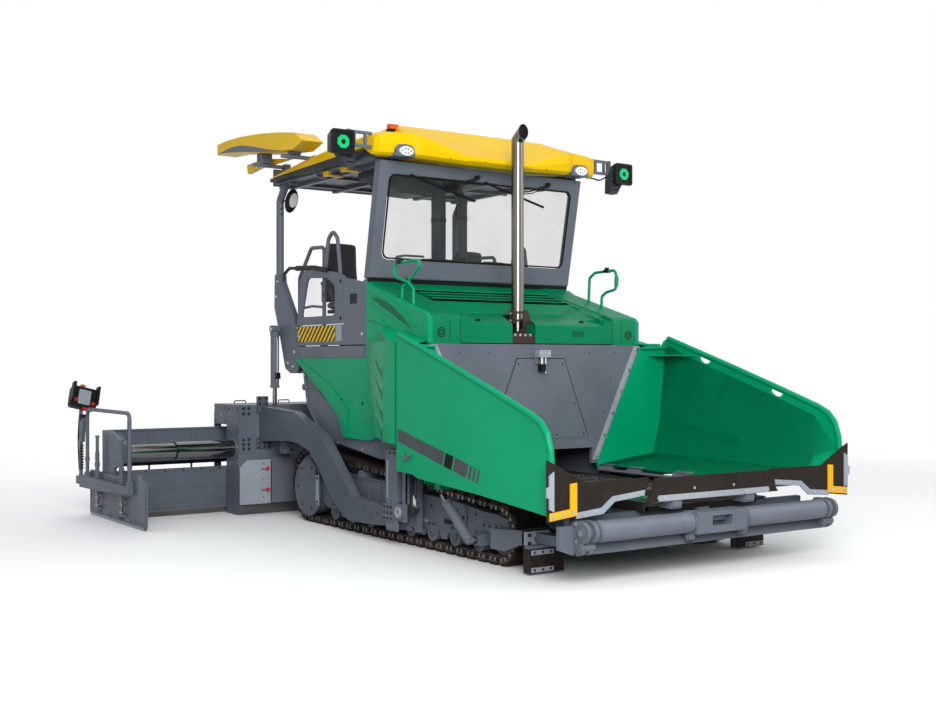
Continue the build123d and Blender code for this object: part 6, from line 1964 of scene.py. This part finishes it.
# screed
def makeScreedDetails():
    bm = bmesh.new()
    for sign in (-1, 1):
        end = sign * 1.69
        # bolted corner plate beside the arm
        addSlab(bm, [(sign * 1.5, 0.69), (sign * 1.688, 0.69), (sign * 1.688, 1.225), (sign * 1.5, 1.225)], "y",
            2.068, 2.08)
        addBolts(bm, [(sign * x, 2.068, z) for x in (1.64, 1.575) for z in (1.19, 1.13, 0.84, 0.79, 0.74)], toFront,
            0.012, 0.007, 1)
        # collar that the telescopic tube slides in
        addRing(bm, (end, 2.25, 0.74), (end + sign * 0.0035, 2.25, 0.74), 0.128, 0.102, 0, 44)
        addRing(bm, (end, 2.25, 0.74), (end + sign * 0.0045, 2.25, 0.74), 0.11, 0.102, 4, 44)
        # seams, latch and hinge of the upper hood's end
        addSlab(bm, [(2.43, 1.01), (2.43, 1.222), (2.7, 1.222), (2.762, 1.15), (2.762, 1.01)], "x", end,
            end + sign * 0.006)
        addRing(bm, (end + sign * 0.006, 2.56, 1.11), (end + sign * 0.012, 2.56, 1.11), 0.02, 0.01, 4, 20)
        addBolts(bm, [(end + sign * 0.006, y, z) for y in (2.46, 2.72) for z in (1.035, 1.19)][:3], (sign, 0, 0),
            0.009, 0.005, 1)
        addBlock(bm, (end - 0.004, 2.1, 0.5), (end + 0.004, 2.4, 0.515))
        addSlab(bm, [(2.09, 0.9), (2.09, 1.21), (2.38, 1.21), (2.38, 0.9)], "x", end, end + sign * 0.004)
        addBolts(bm, [(end + sign * 0.004, y, z) for y in (2.12, 2.35) for z in (0.93, 1.18)], (sign, 0, 0), 0.009,
            0.005, 1)
        # rear lamps
        addBlock(bm, (sign * 1.48 - 0.055, 2.768, 1.12), (sign * 1.48 + 0.055, 2.785, 1.175), 5)
    # seams of the hood's lids and their handles
    for x in (-1.12, -0.56, 0.0, 0.56, 1.12):
        addBlock(bm, (x - 0.003, 2.079, 1.229), (x + 0.003, 2.768, 1.232), 2)
    for x in (-1.4, -0.84, -0.28, 0.28, 0.84, 1.4):
        addPipe(bm, [(x - 0.07, 2.7, 1.228), (x - 0.07, 2.7, 1.258), (x + 0.07, 2.7, 1.258), (x + 0.07, 2.7, 1.228)],
            0.007, 0.015, 1, 8)
        addBolts(bm, [(x, 2.771, 1.18)], toRear, 0.012, 0.008, 1)
        # open gas burner boxes and cables seen from behind
        addBlock(bm, (x - 0.18, 2.421, 0.62), (x + 0.18, 2.45, 0.82))
        addBolts(bm, [(x - 0.16, 2.45, 0.64), (x + 0.16, 2.45, 0.64), (x - 0.16, 2.45, 0.8), (x + 0.16, 2.45, 0.8)],
            toRear, 0.008, 0.005, 1)
        addPipe(bm, [(x, 2.45, 0.74), (x, 2.5, 0.76), (x + 0.05, 2.5, 0.92), (x + 0.05, 2.46, 1.0)], 0.01, 0.03, 2, 8,
            smooth=True)
    # nose, tamper bar and sole plate edges along the front
    addBlock(bm, (-1.688, 2.052, 0.47), (1.688, 2.062, 0.492))
    addBlock(bm, (-1.685, 2.056, 0.055), (1.685, 2.062, 0.13), 3)
    addBolts(bm, [(x * 0.24, 2.052, 0.44) for x in range(-6, 7)], toFront, 0.01, 0.009, 1)
    # walkway: tread plates between a folded rim
    for k in range(3):
        low, high = -1.675 + k * 1.12, -1.675 + k * 1.12 + 1.11
        addBlock(bm, (low, 2.882, 0.4), (high, 3.318, 0.406), 6)
    for y in (2.874, 3.322):
        addBlock(bm, (-1.69, y - 0.006, 0.355), (1.69, y + 0.006, 0.412))
    for x in (-1.6, 0.0, 1.6):
        addBolts(bm, [(x + dx, 2.902, z) for dx in (-0.022, 0.022) for z in (0.45, 0.6)], toRear, 0.009, 0.006, 1)
        addSlab(bm, [(2.902, 0.412), (2.902, 0.56), (3.06, 0.412)], "x", x - 0.006, x + 0.006)
    # rear tool box with its lid
    addBlock(bm, (-0.46, 2.771, 0.975), (0.46, 2.865, 1.15))
    addSlab(bm, roundedBox((-0.42, 0.99), (0.42, 1.135), 0.012, 3), "y", 2.865, 2.872, 4)
    addBolts(bm, [(-0.39, 2.872, 1.06), (0.39, 2.872, 1.06)], toRear, 0.01, 0.008, 1)
    finishPiece(bm, "screed_fittings", "screed", ["greyPaint", "darkSteel", "sealRubber", "wornSteel", "lightPaint",
        "redPaint", "treadPlate"], 0.002, 2, (), 40)


extension = {"low": 1.45, "high": 2.94, "tube": (2.25, 0.74), "wide": 0.0945, "narrow": 0.082}


def makeExtensions():
    for side in leftAndRight:
        bm = bmesh.new()
        low, high, tube, wide, narrow = extension.values()
        addSlab(bm, [(2.45, 0.07), (2.45, 0.528), (2.47, 0.532), (2.84, 0.4), (2.84, 0.002), (2.505, 0.002)], "x",
            low, high)
        addSlab(bm, [(2.447, 0.062), (2.505, 0.001), (2.84, 0.001), (2.84, 0.03), (2.52, 0.03), (2.455, 0.085)], "x",
            low, high, 3)
        # front wall: folded ledges and screws
        addBlock(bm, (low, 2.44, 0.496), (high, 2.452, 0.526))
        addBlock(bm, (low, 2.443, 0.3), (high, 2.452, 0.312))
        addBlock(bm, (low, 2.44, 0.11), (high, 2.452, 0.128))
        addBolts(bm, [(low + 0.1 + k * 0.215, 2.44, 0.511) for k in range(7)], toFront, 0.008, 0.005, 1)
        addBolts(bm, [(x, 2.452, z) for x in (1.8, 2.3, 2.78) for z in (0.4, 0.215)], toFront, 0.006, 0.003, 1)
        # rear wall above the base, with its rolled top and struts
        addBlock(bm, (low, 2.8, 0.56), (high, 2.836, 0.952))
        addBlock(bm, (low, 2.785, 0.94), (high, 2.84, 0.96))
        addBlock(bm, (low, 2.788, 0.548), (high, 2.84, 0.585), 2)
        for x in (1.95, 2.45):
            addSlab(bm, [(2.798, 0.6), (2.798, 0.94), (2.788, 0.94), (2.788, 0.6)], "x", x - 0.012, x + 0.012)
            addRod(bm, (x, 2.82, 0.395), (x, 2.82, 0.56), 0.012, 0, 14)
        addBolts(bm, [(x, 2.8, 0.76) for x in (1.72, 2.2, 2.7)], toFront, 0.012, 0.006, 2)
        # end frame with the tube's shoe
        addSlab(bm, [(2.132, 0.642), (2.132, 0.838), (2.56, 0.958), (2.838, 0.958), (2.838, 0.004), (2.455, 0.004),
            (2.455, 0.56)], "x", 2.94, 2.975)
        addSlab(bm, [(2.2, 0.66), (2.2, 0.82), (2.54, 0.9), (2.8, 0.9), (2.8, 0.86), (2.56, 0.64)], "x", 2.937, 2.941)
        addSlab(bm, [(2.48, 0.72), (2.48, 0.8), (2.78, 0.93), (2.78, 0.905)], "x", 2.79, 2.935)
        addBolts(bm, [(2.934, y, z) for y, z in ((2.6, 0.85), (2.74, 0.87), (2.7, 0.76))], (-1, 0, 0), 0.011, 0.006,
            1)
        # two-stage chromed tube
        addRod(bm, (1.6, *tube), (2.37, *tube), wide, 4, 56)
        addRod(bm, (2.37, *tube), (2.922, *tube), narrow, 4, 56)
        addRing(bm, (2.352, *tube), (2.374, *tube), wide, 0.081, 2, 56)
        addRing(bm, (2.9, *tube), (2.936, *tube), 0.096, 0.081, 0, 44)
        finishPiece(bm, "extension_body", "extension", ["greyPaint", "darkSteel", "sealRubber", "wornSteel",
            "chromeSteel"], 0.003, 2, ["screed_extension"], 40, side=side)


gate = {"face": 3.0, "spindles": (2.04, 2.84), "feet": (1.8, 2.15, 2.5, 2.85), "control": (2.999, 3.46, 1.29)}


def makeEndPlates():
    for side in leftAndRight:
        bm = bmesh.new()
        face = gate["face"]
        outline = [(1.4, 0.05), (1.4, 0.42), (1.47, 0.5), (3.17, 0.5), (3.19, 0.48), (3.19, 0.03), (3.16, 0.002),
            (1.45, 0.002)]
        addSlab(bm, outline, "x", 2.976, 2.996)
        inner = [(1.435, 0.065), (1.435, 0.405), (1.485, 0.465), (3.15, 0.465), (3.155, 0.455), (3.155, 0.05),
            (3.14, 0.04), (1.465, 0.04)]
        addPlate(bm, outline, "x", 2.99, 3.0, 0, [inner])
        addSlab(bm, [(1.44, 0.001), (3.165, 0.001), (3.15, 0.03), (1.46, 0.03)], "x", 2.97, 3.002, 4)
        # upright folded channel at the front and small feet along the lower edge
        addSlab(bm, [(1.42, 0.08), (1.42, 0.43), (1.56, 0.56), (1.6, 0.56), (1.6, 0.08)], "x", 2.996, 3.012)
        for y in gate["feet"]:
            addSlab(bm, [(y - 0.055, 0.04), (y + 0.055, 0.04), (y + 0.03, 0.085), (y - 0.03, 0.085)], "x", 2.996,
                3.008)
            addBolts(bm, [(3.008, y, 0.06)], toSide, 0.01, 0.006, 1)
        # channel beam, tapering to the front
        addSlab(bm, [(1.75, 0.34), (1.75, 0.425), (3.4, 0.43), (3.4, 0.29), (2.6, 0.3)], "x", face, face + 0.056)
        addSlab(bm, [(1.76, 0.35), (1.76, 0.415), (3.39, 0.418), (3.39, 0.302), (2.6, 0.312)], "x", face + 0.05,
            face + 0.06)
        addBlock(bm, (face, 3.4, 0.32), (face + 0.06, 3.52, 0.41))
        addRod(bm, (face + 0.03, 3.44, 0.41), (face + 0.03, 3.44, 0.44), 0.02, 1, 16)
        # guard rail
        rail = face + 0.03
        addPipe(bm, [(rail, 1.79, 0.43), (rail, 1.79, 1.18), (rail, 3.19, 1.18), (rail, 3.19, 0.43)], 0.0215, 0.09, 0,
            18)
        addPipe(bm, [(rail, 1.812, 0.6), (rail + 0.001, 1.835, 0.62), (rail, 1.835, 1.1), (rail, 1.815, 1.14)], 0.01,
            0.02, 3, 8)
        for y in (1.79, 3.19):
            addBlock(bm, (rail - 0.028, y - 0.03, 0.425), (rail + 0.028, y + 0.03, 0.475))
            addRing(bm, (rail, y, 0.6), (rail, y, 0.64), 0.027, 0.021, 0, 24)
        # height spindles: housings above, threaded rods and cranks below
        for y in gate["spindles"]:
            addRod(bm, (rail, y, 0.43), (rail, y, 0.72), 0.0235)
            addRod(bm, (rail, y, 0.72), (rail, y, 0.88), 0.018, 0, 20)
            addRod(bm, (rail, y, 0.88), (rail, y, 0.9), 0.0235, 0, 20)
            addRing(bm, (rail, y, 0.56), (rail, y, 0.6), 0.029, 0.023, 0, 24)
            addRod(bm, (rail, y, 0.1), (rail, y, 0.3), 0.013, 2, 20)
            addRod(bm, (rail, y - 0.055, 0.215), (rail, y + 0.055, 0.215), 0.011, 2, 16)
            addRod(bm, (rail, y - 0.05, 0.13), (rail, y + 0.05, 0.13), 0.011, 2, 16)
            addBlock(bm, (face, y - 0.045, 0.085), (face + 0.04, y + 0.045, 0.118))
            addBlock(bm, (face, y - 0.04, 0.255), (face + 0.048, y + 0.04, 0.285))
        # bent post for the remote control, springs and cable
        addPipe(bm, [(rail, 3.425, 0.41), (rail, 3.425, 0.78), (rail, 3.455, 0.98), (rail, 3.425, 1.16)], 0.022, 0.06,
            0, 14)
        addSlab(bm, [(3.4, 0.8), (3.4, 1.02), (3.34, 1.1), (3.31, 1.02), (3.35, 0.8)], "x", rail - 0.02, rail + 0.02)
        for k in range(9):
            addRing(bm, (rail + 0.004, 3.372, 0.5 + k * 0.032), (rail + 0.004, 3.372, 0.512 + k * 0.032), 0.022,
                0.012, 3, 14)
        addPipe(bm, [(rail, 3.47, 1.14), (rail, 3.53, 0.98), (rail, 3.535, 0.7), (rail, 3.49, 0.47)], 0.008, 0.05, 3,
            8, smooth=True)
        addRod(bm, (rail - 0.035, 3.36, 1.085), (rail + 0.035, 3.36, 1.085), 0.03, 3, 16)
        # remote control: two grips round a tilted face
        box = bmesh.new()
        addSlab(box, roundedBox((-0.15, -0.125), (0.15, 0.125), 0.035, 4), "y", -0.045, 0.045, 3)
        addSlab(box, roundedBox((-0.07, -0.085), (0.07, 0.09), 0.015, 3), "y", -0.056, -0.04, 4)
        for x in (-0.155, 0.125):
            addBlock(box, (x, -0.11, -0.07), (x + 0.03, -0.03, 0.15), 3)
        for x, z, slot in ((-0.105, -0.06, 5), (-0.105, 0.03, 3), (0.105, -0.05, 5), (0.105, 0.045, 3)):
            addRod(box, (x, -0.075, z), (x, -0.045, z), 0.022, slot, 18)
        addRod(box, (0.02, 0.0, 0.12), (0.02, 0.0, 0.16), 0.03, 6, 20)
        addRod(box, (-0.08, -0.05, -0.135), (0.01, -0.05, -0.135), 0.018, 5, 14)
        bmesh.ops.rotate(box, matrix=Matrix.Rotation(math.radians(-18), 3, "X"), verts=box.verts)
        bmesh.ops.rotate(box, matrix=Matrix.Rotation(math.radians(-14), 3, "Y"), verts=box.verts)
        bmesh.ops.translate(box, vec=gate["control"], verts=box.verts)
        pourInto(bm, box)
        finishPiece(bm, "end_gate", "extension", ["greyPaint", "darkSteel", "chromeSteel", "blackPlastic",
            "lightPaint", "redPaint", "orangePlastic"], 0.003, 2, ["end_plate"], 40, side=side)


makeScreedDetails()
makeExtensions()
makeEndPlates()
print("screed ready")


# solids that keep their own shape, with eased edges; the tow arms take a darker copy of the grey, painted shade
for node, body, material, bevel, slot in (("chassis", "tractor", "greyPaint", 0.006, "grey"),
        ("engine", "tractor", "darkSteel", 0.01, "dark"), ("side_bodies", "tractor", "greyPaint", 0.008, "grey"),
        ("auger_carrier", "tractor", "greyPaint", 0.006, "grey"), ("tow_arms", "screed", "armShadedGrey", 0.008, "grey"),
        ("screed_main", "screed", "greyPaint", 0.006, "grey"),
        ("crawler_frame_left", "tractor", "greyPaint", 0.006, "grey"), ("crawler_frame_right", "tractor", "greyPaint",
        0.006, "grey")):
    dressNode(node, body, material, bevel)
print("solids with eased edges ready")


# floor, lamps and camera
def seenRay(tree):
    # 1 for rays from the camera, through glass and off gloss, which all see the pale backdrop
    rays = addNode(tree, "LightPath").outputs
    through = mathNode(tree, "MAXIMUM", rays["Is Transmission Ray"], rays["Is Glossy Ray"])
    return mathNode(tree, "MAXIMUM", rays["Is Camera Ray"], through)


def makeStage():
    bm = bmesh.new()
    bmesh.ops.create_grid(bm, x_segments=1, y_segments=1, size=60)
    mesh = bpy.data.meshes.new("floor")
    bm.to_mesh(mesh)
    bm.free()
    floor = bpy.data.objects.new("floor", mesh)
    bpy.context.scene.collection.objects.link(floor)
    material, tree, shader = newMaterial("paleFloor")
    # beyond the shadow the floor gives way to the backdrop for rays from the camera, and it bounces little light
    direct = seenRay(tree)
    tone = mixColor(tree, direct, (0.46, 0.46, 0.46, 1), (0.94, 0.94, 0.94, 1))
    feed(tree, shader, {"Base Color": tone, "Roughness": 0.75, "Specular IOR Level": 0.2})
    reach = addNode(tree, "VectorMath", {0: objectPlace(tree)}, operation="LENGTH").outputs["Value"]
    away = multiply(tree, rampMask(tree, reach, 5.5, 13.0), direct)
    clear = addNode(tree, "BsdfTransparent").outputs[0]
    blend = addNode(tree, "MixShader", {0: away, 1: shader.outputs[0], 2: clear})
    feed(tree, tree.nodes["Material Output"], {"Surface": blend.outputs[0]})
    mesh.materials.append(material)

    world = bpy.context.scene.world or bpy.data.worlds.new("studio")
    bpy.context.scene.world = world
    world.use_nodes = True
    tree = world.node_tree
    tree.nodes.clear()
    seen = addNode(tree, "Background", {"Color": (1, 1, 1, 1), "Strength": 1.0}).outputs[0]
    lit = addNode(tree, "Background", {"Color": (0.93, 0.96, 1, 1), "Strength": 0.57}).outputs[0]
    mixer = addNode(tree, "MixShader", {0: seenRay(tree), 1: lit, 2: seen})
    addNode(tree, "OutputWorld", {"Surface": mixer.outputs[0]})

    lamps = (
        # name, place, aim, size, power
        ("keyLamp", (-6.2, -11, 5.5), (0, -0.8, 1.2), 6, 1450),
        ("fillLamp", (9, -8, 7), (0, -1, 1.5), 8, 300),
        ("topLamp", (0, 0, 12), (0, 0, 1), 9, 150),
        ("rearLamp", (3, 12, 7), (0, 1, 1.5), 6, 520),
    )
    for name, place, aim, size, power in lamps:
        data = bpy.data.lights.new(name, "AREA")
        data.size = size
        data.energy = power
        lamp = bpy.data.objects.new(name, data)
        lamp.location = place
        lamp.rotation_euler = (Vector(aim) - Vector(place)).to_track_quat("-Z", "Y").to_euler()
        lamp.visible_glossy = name in ("keyLamp", "fillLamp")
        bpy.context.scene.collection.objects.link(lamp)

    view = {"place": (-7.27, -10.5, 1.71), "turn": 34.6, "lens": 46.73, "rise": 11 / 936}
    data = bpy.data.cameras.new("camera")
    data.lens = view["lens"]
    data.sensor_width = 36
    data.shift_y = view["rise"]
    camera = bpy.data.objects.new("camera", data)
    camera.location = view["place"]
    camera.rotation_euler = (math.radians(90), 0, math.radians(-view["turn"]))
    bpy.context.scene.collection.objects.link(camera)
    bpy.context.scene.camera = camera
    bpy.context.scene.view_settings.view_transform = "Standard"


makeStage()
print("stage ready")
